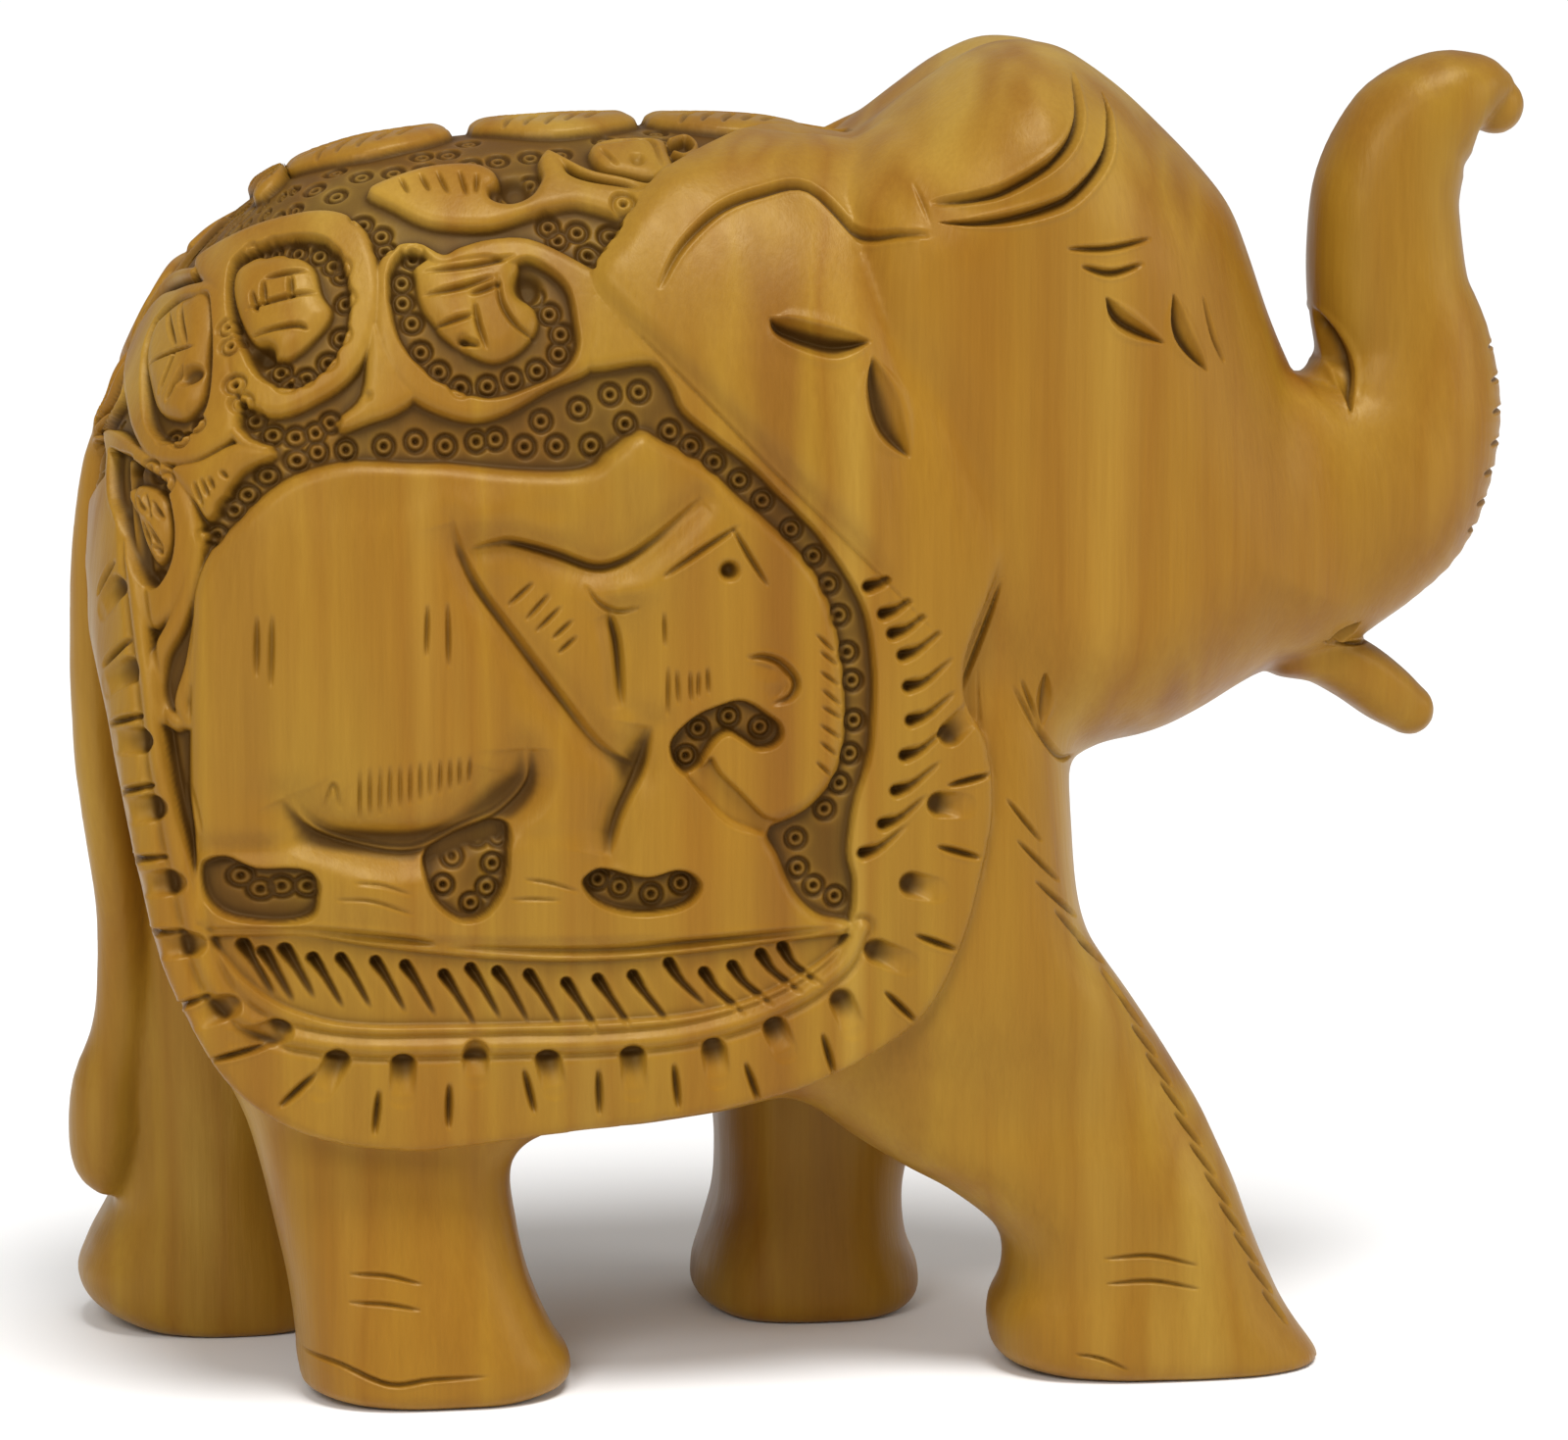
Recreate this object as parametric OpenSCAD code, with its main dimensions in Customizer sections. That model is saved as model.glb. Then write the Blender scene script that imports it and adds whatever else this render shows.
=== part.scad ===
// Carved wooden elephant, one hand long, striding with its trunk raised.
// It wears a carved saddle cloth with a relief elephant on each side.
// +X points to the head, +Y to the animal's left side, +Z up. Units are mm.
// Each carved element is a node of its own, and neighbours meet face to face.

/* [Overall] */
// Length from the tail to the tip of the trunk
length = 160; // [80:1:240]
// Height from the soles to the crown of the head
height = 143; // [70:1:215]
// Half the width of the bare trunk of the body
body_half = 28.5; // [14:0.5:43]

/* [Saddle cloth] */
// Thickness of the cloth up to its sunk ground
cloth_t = 2; // [1:0.5:4]
// Height of rims, borders and leaves above the sunk ground
raise = 1.4; // [0.6:0.2:3]
// Height of the relief elephants above the sunk ground
figure_raise = 2.4; // [1:0.2:4]

/* [Head] */
// Half the width of the head across the cheeks
head_half = 25; // [12:0.5:28]
// Distance from the middle plane to the outside of an ear
ear_out = 32.5; // [20:0.5:40]
// Thickness of each ear flap
ear_t = 7; // [3:0.5:10]

/* [Legs and tail] */
// Outer face of the legs, from the middle plane
leg_out = 29.5; // [18:0.5:36]
// Inner face of the legs, from the middle plane
leg_in = 5; // [2:0.5:10]
// Radius of the tail
tail_r = 2.4; // [1.5:0.1:4]

/* [Shown part] */
// Sub-part to draw, or all

/* [Hidden] */
sx = length / 160;
sz = height / 143;
sy = body_half / 28.5;
ring_n = 40;

// Wood colours, only to tell the nodes apart
wood = [0.80, 0.60, 0.34];
pale_wood = [0.87, 0.69, 0.43];
deep_wood = [0.70, 0.49, 0.25];

// A point of a superellipse at angle a
function bow(c, n) = sign(c) * pow(abs(c), 2 / n);

// Mean point of a ring
function middle(r) = [for (p = r) 1 / len(r)] * r;

// Skin closed rings of equal count into one solid, each end capped as a fan
module skin(rings) {
  n = len(rings[0]);
  m = len(rings);
  polyhedron(
    points = concat([for (r = rings) for (p = r) p], [middle(rings[0]), middle(rings[m - 1])]),
    faces = concat(
      [for (i = [0 : n - 1]) [i, (i + 1) % n, m * n]],
      [for (k = [0 : m - 2]) for (i = [0 : n - 1])
        [k * n + i, (k + 1) * n + i, (k + 1) * n + (i + 1) % n]],
      [for (k = [0 : m - 2]) for (i = [0 : n - 1])
        [k * n + i, (k + 1) * n + (i + 1) % n, k * n + (i + 1) % n]],
      [for (i = [0 : n - 1]) [(m - 1) * n + (i + 1) % n, (m - 1) * n + i, m * n + 1]]),
    convexity = 6);
}

// Stations of the bare body: x, underside, top, half width
body_stations = [
  [-73.6, 62, 98, 7], [-72.6, 54, 104, 13], [-70.5, 45, 110, 19], [-67, 37, 116, 23.5],
  [-61, 31.5, 121.5, 26.8], [-53, 28.5, 126, 28.2], [-42, 27.5, 129, 28.5], [-28, 28, 130.6, 28.5],
  [-14, 29, 130.8, 28.5], [-2, 31, 130, 28.2], [8, 34, 126, 27.2], [14, 36.5, 116, 26.4],
  [19, 39, 106, 25], [24, 41.5, 95, 22.6], [27.6, 44, 86, 19], [30, 48, 79, 14], [31, 53, 72, 8]];
z_low = [for (s = body_stations) [s[0], s[1]]];
z_top = [for (s = body_stations) [s[0], s[2]]];
half_w = [for (s = body_stations) [s[0], s[3]]];

// Middle height and half height of the body at x
function mid(x) = (lookup(x, z_low) + lookup(x, z_top)) / 2;
function tall(x) = (lookup(x, z_top) - lookup(x, z_low)) / 2;

// Fuller below the middle than above it
function wide_n(a) = sin(a) < 0 ? 7 : 2.5;

// Point of the body grown outward by t, at x and angle a round the section
function on_body(x, a, t) =
  [(x + (x < 0 ? -1 : 1) * t * pow(abs(x + 20) / 54, 6)) * sx,
   -(lookup(x, half_w) * sy + t) * bow(cos(a), wide_n(a)),
   mid(x) * sz + (tall(x) * sz + t) * bow(sin(a), wide_n(a))];

// Point of the same surface at x and height z, on the side given by its sign
function on_side(x, z, t, side) =
  let (u = (z - mid(x)) * sz / (tall(x) * sz + t), n = u < 0 ? 7 : 2.5, v = min(0.9995, abs(u)))
  [(x + (x < 0 ? -1 : 1) * t * pow(abs(x + 20) / 54, 6)) * sx,
   side * (lookup(x, half_w) * sy + t) * pow(1 - pow(v, n), 1 / n),
   mid(x) * sz + sign(u) * v * (tall(x) * sz + t)];

// Heights of the underside and of the back at x and y
function under(x, y) =
  mid(x) * sz - tall(x) * sz * pow(1 - pow(min(0.999, abs(y) / (lookup(x, half_w) * sy)), 7), 1 / 7);
function over(x, y, t = 0) =
  mid(x) * sz + (tall(x) * sz + t) * pow(1 - pow(min(0.999, abs(y) / (lookup(x, half_w) * sy + t)), 2.5), 0.4);

// The body grown outward by t
module body_skin(t) {
  skin([for (s = body_stations) [for (i = [0 : ring_n - 1]) on_body(s[0], i * 360 / ring_n, t)]]);
}

// A plate between two equal grids of points, the outer one over the inner one
module plate(outer, inner, flip = false) {
  m = len(outer);
  n = len(outer[0]);
  top = [for (i = [0 : m - 2]) for (j = [0 : n - 2])
    [i * n + j, (i + 1) * n + j, (i + 1) * n + j + 1]];
  top_b = [for (i = [0 : m - 2]) for (j = [0 : n - 2])
    [i * n + j, (i + 1) * n + j + 1, i * n + j + 1]];
  base = [for (f = concat(top, top_b)) [f[2] + m * n, f[1] + m * n, f[0] + m * n]];
  loop = concat([for (j = [0 : n - 1]) j], [for (i = [1 : m - 1]) i * n + n - 1],
    [for (j = [n - 2 : -1 : 0]) (m - 1) * n + j], [for (i = [m - 2 : -1 : 1]) i * n]);
  walls = [for (k = [0 : len(loop) - 1]) let (a = loop[k], b = loop[(k + 1) % len(loop)])
    [a, b, b + m * n]];
  walls_b = [for (k = [0 : len(loop) - 1]) let (a = loop[k], b = loop[(k + 1) % len(loop)])
    [a, b + m * n, a + m * n]];
  faces = concat(top, top_b, base, walls, walls_b);
  polyhedron(
    points = concat([for (r = outer) for (p = r) p], [for (r = inner) for (p = r) p]),
    faces = flip ? [for (f = faces) [f[2], f[1], f[0]]] : faces,
    convexity = 6);
}

// A plate on the flank between two side outlines of equal count
module strip(edge_a, edge_b, t0, t1, side, k) {
  grid = [for (t = [t1, t0]) [for (i = [0 : len(edge_a) - 1]) [for (j = [0 : k])
    let (p = edge_a[i] + (edge_b[i] - edge_a[i]) * j / k) on_side(p[0], p[1], t, side)]]];
  plate(grid[0], grid[1], side > 0);
}

// Lower edge of the cloth: x, z
cloth_low = [[-73.4, 66], [-72.4, 58], [-70.8, 50], [-68, 43], [-64, 36.6], [-59, 32.8],
  [-52, 30.2], [-44, 29], [-36, 29.2], [-28, 29.9], [-20, 30.6], [-11, 31.6], [-3, 33.6],
  [4, 37], [9.5, 42], [13, 48.5], [15.4, 56], [16.5, 63]];

// Outer and inner edge of the border, from the rump round below to the ear
border_out = [[-72.5, 100], [-73.4, 94], [-73.6, 87], [-73.6, 80], [-73.4, 72], [-73, 64.5], [-72, 57], [-70.4, 49.6],
  [-67.6, 43], [-63.6, 37], [-58.4, 33], [-51.6, 30.6], [-44, 29.6], [-36, 29.8], [-28, 30.5], [-20, 31.2],
  [-11, 32.2], [-3, 34.2], [3.8, 37.6], [9.2, 42.4], [12.6, 49], [15, 56.2], [16.2, 63], [15.8, 70],
  [13.4, 77], [11, 82]];
border_in = [[-67.5, 98], [-68.6, 92.5], [-69, 86], [-69.2, 79.5], [-69, 72.5], [-68.2, 65.5], [-66.8, 59], [-65, 53],
  [-62.4, 48.4], [-59, 44.4], [-54.6, 41.8], [-49.4, 40.2], [-43.4, 39.2], [-36, 39], [-28.6, 39.6], [-21.4, 40.2],
  [-14.2, 41.2], [-8, 42.8], [-2.6, 45.8], [1.6, 50], [5, 55], [7.2, 60.4], [8, 66], [7.2, 72],
  [5, 78], [2, 85.5]];

// Crescent of slanted leaf cuts above the bottom border
leaf_top = [[-66, 51.6], [-61, 50.6], [-54, 49.8], [-46, 49], [-37, 48.2], [-28, 47.8], [-19, 48],
  [-11, 48.8], [-4, 49.8], [1.6, 50.6]];
leaf_low = [[-64.6, 49.6], [-59.8, 45.4], [-53.4, 42.8], [-45.6, 40.8], [-37, 40.2], [-28, 40.8],
  [-19.4, 41.6], [-12, 43], [-5.4, 45.6], [0.4, 49.6]];

// Upper and lower edge of the relief elephant, from rump to trunk
figure_top = [[-67.2, 76], [-66, 84], [-63.6, 91], [-60, 95.2], [-54.6, 98], [-47.5, 99], [-40, 98.8],
  [-33, 98.4], [-27, 98.8], [-23.8, 100.4], [-20.8, 102], [-17.4, 100.4], [-14, 97.2], [-9.4, 94],
  [-5, 90.2], [-2.2, 86.2], [-0.4, 81.6], [0.3, 75]];
figure_low = [[-66.6, 62.4], [-62, 61.6], [-56.6, 60.4], [-55, 53], [-49.6, 52.2], [-44.6, 52.4], [-43, 59.6],
  [-36.4, 60.8], [-35.6, 52], [-31.6, 50.8], [-28, 51], [-25.4, 56.8], [-19.6, 57], [-15.4, 51.4],
  [-9.4, 51], [-4.4, 51.6], [-2.6, 56], [-1.2, 66]];

// Medallions of the upper flank: x, z, half length, half height
medallion_rump = [-68.6, 90.4, 3.6, 7];
medallion_rear = [-65, 105, 5.6, 9];
medallion_middle = [-52.4, 111, 7.6, 8.6];
medallion_front = [-33.6, 111.6, 11, 8.6];

module body() {
  color(deep_wood) body_skin(0);
}

// Saddle cloth with its sunk ground, wrapped over the back
module cloth() {
  k = 34;
  grid = [for (t = [cloth_t, 0]) [for (s = cloth_low)
    let (x = s[0], u = max(-0.9995, (s[1] - mid(x)) / tall(x)), a0 = -asin(pow(abs(u), 3.5)))
    [for (j = [0 : k]) on_body(x, a0 + (180 - 2 * a0) * j / k, t)]]];
  color(wood) plate(grid[0], grid[1], false);
}

module border(side) {
  strip(border_out, border_in, cloth_t, cloth_t + raise, side, 3);
}

module border_right() {
  color(pale_wood) border(-1);
}

module border_left() {
  color(pale_wood) border(1);
}

module leaf_band(side) {
  strip(leaf_low, leaf_top, cloth_t, cloth_t + raise, side, 3);
}

module leaf_band_right() {
  color(pale_wood) leaf_band(-1);
}

module leaf_band_left() {
  color(pale_wood) leaf_band(1);
}

module figure(side) {
  strip(figure_low, figure_top, cloth_t, cloth_t + figure_raise, side, 8);
}

module figure_right() {
  color(pale_wood) figure(-1);
}

module figure_left() {
  color(pale_wood) figure(1);
}

// Section of a medallion from its outside to its centre: radius share, height share
medallion_section = [[1, 0.02], [0.97, 1], [0.74, 1], [0.68, 0.2], [0.5, 0.2], [0.45, 0.9], [0.06, 0.9]];

// A medallion with a standing rim, a sunk field and a raised motif
module medallion(m, side) {
  n = 32;
  c = len(medallion_section);
  function at(f, a, t) = on_side(m[0] + m[2] * f * cos(a), m[1] + m[3] * f * sin(a), t, side);
  skin(concat(
    [[for (i = [0 : n - 1]) at(0.06, side * i * 360 / n, cloth_t)]],
    [[for (i = [0 : n - 1]) at(0.55, side * i * 360 / n, cloth_t)]],
    [for (q = medallion_section) [for (i = [0 : n - 1])
      at(q[0], side * i * 360 / n, cloth_t + raise * q[1])]]));
}

module medallion_rump_right() {
  color(wood) medallion(medallion_rump, -1);
}

module medallion_rump_left() {
  color(wood) medallion(medallion_rump, 1);
}

module medallion_rear_right() {
  color(wood) medallion(medallion_rear, -1);
}

module medallion_rear_left() {
  color(wood) medallion(medallion_rear, 1);
}

module medallion_middle_right() {
  color(wood) medallion(medallion_middle, -1);
}

module medallion_middle_left() {
  color(wood) medallion(medallion_middle, 1);
}

module medallion_front_right() {
  color(wood) medallion(medallion_front, -1);
}

module medallion_front_left() {
  color(wood) medallion(medallion_front, 1);
}

// Leafy vine along the spine, with scalloped edges
module back_vine() {
  rows = 30;
  grid = [for (t = [cloth_t + raise, cloth_t]) [for (i = [0 : rows])
    let (x = -64 + 48 * i / rows, w = 16 + 9 * abs(sin(i * 18)) * sin(i * 180 / rows))
    [for (j = [0 : 10]) on_body(x, 90 - w + 2 * w * j / 10, t)]]];
  color(deep_wood) plate(grid[0], grid[1], false);
}

// Side outline of the head without the trunk
head_edge = [[2, 129], [5, 134.5], [8.5, 137.8], [12, 140], [17, 142.4], [22, 143], [27, 142.2],
  [31, 140], [35, 137.2], [40, 132.4], [44, 128], [46.6, 124.6], [48.6, 119.5], [51, 113.4],
  [54, 106], [57, 98], [60, 90], [62.6, 83], [63.2, 79], [62, 76.8], [59, 75.2], [55, 73],
  [50, 71.8], [43.7, 68.6], [38, 66.8], [33, 65.8], [26, 67], [18, 72], [11, 82], [6, 96], [3, 112]];

// A side outline blown up into a rounded solid about the point c
function pillow(points, c, half, n) =
  let (steps = 7)
  [for (k = [-steps : steps])
    let (a = k * 86 / steps, s = bow(cos(a), n), y = half * bow(sin(a), n))
    [for (p = points) [c[0] + (p[0] - c[0]) * s, y, c[1] + (p[1] - c[1]) * s]]];

// The head rests on the shoulders and on the front of the cloth
module head_solid() {
  skin([for (r = pillow(head_edge, [32, 104], head_half, 3.6)) [for (p = r)
    [p[0] * sx, p[1], p[0] < 31 ? max(p[2] * sz, over(p[0], p[1], cloth_t)) : p[2] * sz]]]);
}

module head() {
  color(wood) head_solid();
}

// Side outline of an ear, whose straight rear edge lies across the cloth
ear_edge = [[-24, 118.6], [-21.7, 123.7], [-18, 128.3], [-14.5, 130.8], [-7.4, 132.6], [1.7, 133.4],
  [8, 134], [13, 130], [16.5, 121], [19, 111], [20, 100], [19, 90], [16, 82.6], [12.2, 81.4],
  [3, 91], [-6, 100.3], [-15, 109.4]];

// Distance of the cloth from the middle plane at x and height z, none above the back
function flank(x, z) =
  let (h = tall(x) + cloth_t, u = (z - mid(x)) / h)
  u >= 1 ? 0 : (lookup(x, half_w) * sy + cloth_t) * pow(1 - pow(max(0, u), 2.5), 0.4);

// How near the middle plane an ear may come at x, and how much its outside falls back
ear_root = [[-24, 4], [2, 8], [7, 13.5], [12, 17], [20, 20]];
ear_fall = [[-24, 0], [0, 0.5], [12, 1.5], [16, 3.5], [20, 8]];

// An ear grows out of the head and lies on the cloth behind it
module ear(side) {
  skin([for (r = pillow(ear_edge, [6, 108], ear_t, 5)) [for (p = r)
    let (inner = max(lookup(p[0], ear_root) * sy, flank(p[0], p[2])),
      outer = max(inner + 1.2, (ear_out - lookup(p[0], ear_fall)) * sy),
      f = (1 + side * p[1] / ear_t) / 2)
    [p[0] * sx, side * (inner + (outer - inner) * f), p[2] * sz]]]);
}

module ear_right() {
  color(wood) ear(-1);
}

module ear_left() {
  color(wood) ear(1);
}

// A tapering solid along stations in the middle plane:
// x, z, direction in degrees, half depth, half width, offset in y
module stem(stations, n = 24) {
  skin([for (s = stations) [for (i = [0 : n - 1])
    let (a = i * 360 / n, u = s[3] * cos(a), v = s[4] * sin(a))
    [(s[0] + u * sin(s[2])) * sx, v + s[5], (s[1] - u * cos(s[2])) * sz]]]);
}

trunk_stations = [[57, 95, 20, 17.2, 15, 0], [63, 98, 38, 14.2, 13.4, 0], [66.8, 102.4, 62, 12, 11.4, 0],
  [68, 108, 88, 9.7, 9.4, 0], [67, 114, 98, 9, 8.4, 0], [65.4, 120, 94, 8.8, 7.8, 0],
  [65.3, 126, 80, 8.1, 7.4, 0], [67.3, 131.5, 58, 7.2, 7, 0], [71.2, 135.2, 25, 5.6, 6.6, 0],
  [75.5, 137, 2, 3.8, 5.8, 0], [78.6, 137.1, -12, 2.4, 4.4, 0], [80, 136.7, -18, 1, 2, 0]];

module trunk() {
  color(wood) stem(trunk_stations, 28);
}

jaw_stations = [[57, 73.6, -18, 2, 7.6, 0], [59.4, 73.2, -24, 2.8, 7.6, 0], [62, 72.2, -30, 3, 7, 0],
  [66, 70.2, -36, 3.2, 6, 0], [69, 68.8, -38, 2.8, 5.2, 0], [70.8, 67.8, -38, 1.4, 3.4, 0]];

module lower_jaw() {
  color(pale_wood) stem(jaw_stations);
}

// A leg from stations of its side outline: z, rear x, front x, outer y, inner y.
// Its last ring follows the underside of the body.
module leg(stations, side) {
  last = len(stations) - 1;
  skin([for (k = [0 : last]) let (s = stations[k]) [for (i = [0 : 31])
    let (a = i * 11.25 * side,
      x = (s[1] + s[2]) / 2 + (s[2] - s[1]) / 2 * bow(cos(a), 3),
      y = (s[3] + s[4]) / 2 + (s[3] - s[4]) / 2 * bow(sin(a), 2.6))
    [x * sx, side * y, k == last ? under(x, y) : s[0] * sz]]]);
}

function out(f) = leg_out * f;

near_front = [[0, 21.3, 52.6, out(0.95), leg_in], [1, 19.5, 53, out(0.97), leg_in],
  [4, 17.6, 51.8, out(0.97), leg_in], [7, 16.6, 50.4, out(0.96), leg_in], [10, 18.2, 49, out(0.94), leg_in],
  [15, 18.2, 47, out(0.92), leg_in], [20, 14.8, 45, out(0.92), leg_in], [24, 9.6, 43.2, out(0.91), leg_in],
  [28, 4.5, 41.2, out(0.9), leg_in], [32, 1.4, 38.4, out(0.88), 4], [40, 1, 30, out(0.8), 3]];

far_front = [[0, -8, 12.8, out(0.95), leg_in], [1.5, -9.8, 14.6, out(0.97), leg_in],
  [4, -10.5, 14.6, out(0.97), leg_in], [8, -9.8, 13.6, out(0.96), leg_in], [13, -8.6, 13.8, out(0.94), leg_in],
  [18, -7.8, 15.6, out(0.93), leg_in], [23, -7.2, 18.5, out(0.92), leg_in], [27, -6.6, 22, out(0.88), 4],
  [32, -6, 26, out(0.84), 3]];

near_rear = [[0, -52, -30, out(0.95), leg_in], [1, -54.6, -27.6, out(0.98), leg_in],
  [3, -55.4, -27.4, out(0.98), leg_in], [6, -55.8, -29.4, out(0.97), leg_in], [12, -56.8, -31.8, out(0.95), leg_in],
  [18, -58, -33.4, out(0.95), leg_in], [23, -59.6, -33.8, out(0.94), leg_in], [26, -60.4, -32.6, out(0.9), 4],
  [30, -61, -30, out(0.86), 3]];

far_rear = [[0, -72, -51, out(0.93), leg_in], [2, -75, -49.4, out(0.96), leg_in],
  [5.5, -77.8, -49.6, out(0.97), leg_in], [9, -77.2, -51, out(0.96), leg_in], [14, -76, -53, out(0.94), leg_in],
  [19, -74.4, -54.6, out(0.93), leg_in], [24, -73, -53.4, out(0.92), leg_in], [28, -72, -50, out(0.86), 4],
  [34, -70.4, -46, out(0.78), 3]];

module front_leg_right() {
  color(pale_wood) leg(near_front, -1);
}

module front_leg_left() {
  color(pale_wood) leg(far_front, 1);
}

module rear_leg_right() {
  color(pale_wood) leg(near_rear, -1);
}

module rear_leg_left() {
  color(pale_wood) leg(far_rear, 1);
}

// Tail hanging down the rump to a carved tuft beside the left hind leg
tail_stations = [[-75.3, 101, 180, 0.5, 0.6, 0], [-76.2, 98.5, 186, 0.9, 1, 0], [-77.2, 90, 178, 1, 1, 0.6],
  [-77.3, 76, 178, 1, 1, 1.4], [-77.2, 64, 175, 1, 1, 2], [-76, 52, 172, 1, 1, 3],
  [-75.4, 43, 176, 1.1, 1.1, 4], [-75.6, 36, 182, 1.3, 1.2, 5], [-76.6, 29, 180, 1.4, 1.4, 6],
  [-77.4, 23, 178, 1.1, 1.2, 6.5], [-78, 19, 175, 0.6, 0.7, 6.5], [-78, 17, 175, 0.2, 0.2, 6.5]];

module tail() {
  color(wood)
    stem([for (s = tail_stations) [s[0], s[1], s[2] - 90, s[3] * tail_r, s[4] * tail_r * 1.15, s[5]]], 16);
}

body();
cloth();
border_right();
border_left();
leaf_band_right();
leaf_band_left();
figure_right();
figure_left();
medallion_rump_right();
medallion_rump_left();
medallion_rear_right();
medallion_rear_left();
medallion_middle_right();
medallion_middle_left();
medallion_front_right();
medallion_front_left();
back_vine();
head();
ear_right();
ear_left();
trunk();
lower_jaw();
front_leg_right();
front_leg_left();
rear_leg_right();
rear_leg_left();
tail();
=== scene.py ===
"""Carved wooden elephant: one sculpted and carved surface, shared out to the nodes it replaces."""
import math

import bpy
import numpy as np
import openvdb as vdb
from mathutils import Matrix, Vector


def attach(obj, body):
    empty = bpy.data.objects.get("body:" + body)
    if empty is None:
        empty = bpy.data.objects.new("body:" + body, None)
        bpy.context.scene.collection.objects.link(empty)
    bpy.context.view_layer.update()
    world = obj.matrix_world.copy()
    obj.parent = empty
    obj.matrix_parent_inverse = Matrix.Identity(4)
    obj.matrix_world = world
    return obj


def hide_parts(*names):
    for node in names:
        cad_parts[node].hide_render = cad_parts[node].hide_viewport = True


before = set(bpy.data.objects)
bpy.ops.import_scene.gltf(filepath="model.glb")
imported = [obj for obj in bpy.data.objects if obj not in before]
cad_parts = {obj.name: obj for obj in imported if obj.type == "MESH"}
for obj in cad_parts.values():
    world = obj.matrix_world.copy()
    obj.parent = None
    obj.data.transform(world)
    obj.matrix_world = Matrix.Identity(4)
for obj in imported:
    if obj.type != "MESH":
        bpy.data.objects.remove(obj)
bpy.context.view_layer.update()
MM = 0.001
STEP = 0.5  # mm between the samples of the solid
FINE = 3  # each face edge is cut into this many where the wood is carved
CLOTH_T = 3.4  # the cloth's rims stand this far off the bare body


# ---------- small tools ----------
def table(points, at):
    """Smooth curve through (at, value) pairs, sampled at an array."""
    p = np.array(points, float)
    slope = np.gradient(p[:, 1], p[:, 0])
    i = np.clip(np.searchsorted(p[:, 0], at) - 1, 0, len(p) - 2)
    x0, x1 = p[i, 0], p[i + 1, 0]
    t = np.clip((at - x0) / (x1 - x0), 0, 1)
    w = x1 - x0
    a, b = p[i, 1], p[i + 1, 1]
    return (
        a * (1 + 2 * t) * (1 - t) ** 2
        + b * t * t * (3 - 2 * t)
        + w * slope[i] * t * (1 - t) ** 2
        - w * slope[i + 1] * t * t * (1 - t)
    )


def curve(points, closed=False, cuts=6):
    """Catmull-Rom curve through the points."""
    p = np.array(points, float)
    n = len(p)
    if closed:
        q = np.concatenate([p[-1:], p, p[:2]])
    else:
        q = np.concatenate([2 * p[:1] - p[1:2], p, 2 * p[-1:] - p[-2:-1]])
    spans = n if closed else n - 1
    t = np.arange(cuts)[:, None] / cuts
    out = []
    for k in range(spans):
        a, b, c, d = q[k : k + 4]
        square, cube = 2 * a - 5 * b + 4 * c - d, 3 * b - a - 3 * c + d
        out.append(0.5 * (2 * b + (c - a) * t + square * t**2 + cube * t**3))
    if not closed:
        out.append(p[-1:])
    return np.concatenate(out)


def line_distance(line, x, z, closed=False):
    """Distance to a polyline, and how far along it (in points) the nearest place is."""
    best = np.full(np.broadcast(x, z).shape, 1e9, np.float32)
    where = np.zeros_like(best)
    n = len(line)
    for k in range(n if closed else n - 1):
        a, b = line[k], line[(k + 1) % n]
        d = b - a
        t = np.clip(((x - a[0]) * d[0] + (z - a[1]) * d[1]) / max(d @ d, 1e-9), 0, 1)
        r = np.hypot(x - a[0] - t * d[0], z - a[1] - t * d[1])
        near = r < best
        best = np.where(near, r, best)
        where = np.where(near, k + t, where)
    return best, where


def inside(line, x, z):
    """Even-odd test against a closed polyline."""
    hit = np.zeros(np.broadcast(x, z).shape, bool)
    for k in range(len(line)):
        (ax, az), (bx, bz) = line[k], line[(k + 1) % len(line)]
        if az == bz:
            continue
        cross = ((az > z) != (bz > z)) & (x < (bx - ax) * (z - az) / (bz - az) + ax)
        hit ^= cross
    return hit


def outline(points, x, z, cuts=6):
    """Signed distance to a smooth closed outline, negative inside."""
    line = curve(points, True, cuts)
    d, _ = line_distance(line, x, z, True)
    return np.where(inside(line, x, z), -d, d)


def blend(a, b, k):
    """Union of two solids with a fillet of about k."""
    h = np.clip(0.5 + 0.5 * (b - a) / k, 0, 1)
    return b + (a - b) * h - k * h * (1 - h)


def keep(f, side, k):
    """The part of a solid where side is positive, with its new edge broken by about k."""
    return -blend(-f, side, k)


def even(f, limit=9.0):
    """Scales a field so that it grows by 1 per mm."""
    gx, gy, gz = np.gradient(f, STEP)
    g = np.sqrt(gx * gx + gy * gy + gz * gz)
    return np.clip(f / np.maximum(g, 0.02), -limit, limit).astype(np.float32)


# ---------- the sample grid ----------
LOW = np.array([-84.0, -37.0, -4.0])
SIZE = np.array([338, 149, 304])
AXES = [LOW[i] + STEP * np.arange(SIZE[i]) for i in range(3)]


class Box:
    """A block of the grid, with its coordinates shaped to broadcast."""

    def __init__(self, low, high):
        self.cut = tuple(
            slice(max(0, int((low[i] - LOW[i]) / STEP)), min(SIZE[i], int((high[i] - LOW[i]) / STEP) + 1))
            for i in range(3)
        )
        self.x = AXES[0][self.cut[0]][:, None, None].astype(np.float32)
        self.y = AXES[1][self.cut[1]][None, :, None].astype(np.float32)
        self.z = AXES[2][self.cut[2]][None, None, :].astype(np.float32)
        self.flat = (self.x[:, :, 0], self.z[0])


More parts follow.
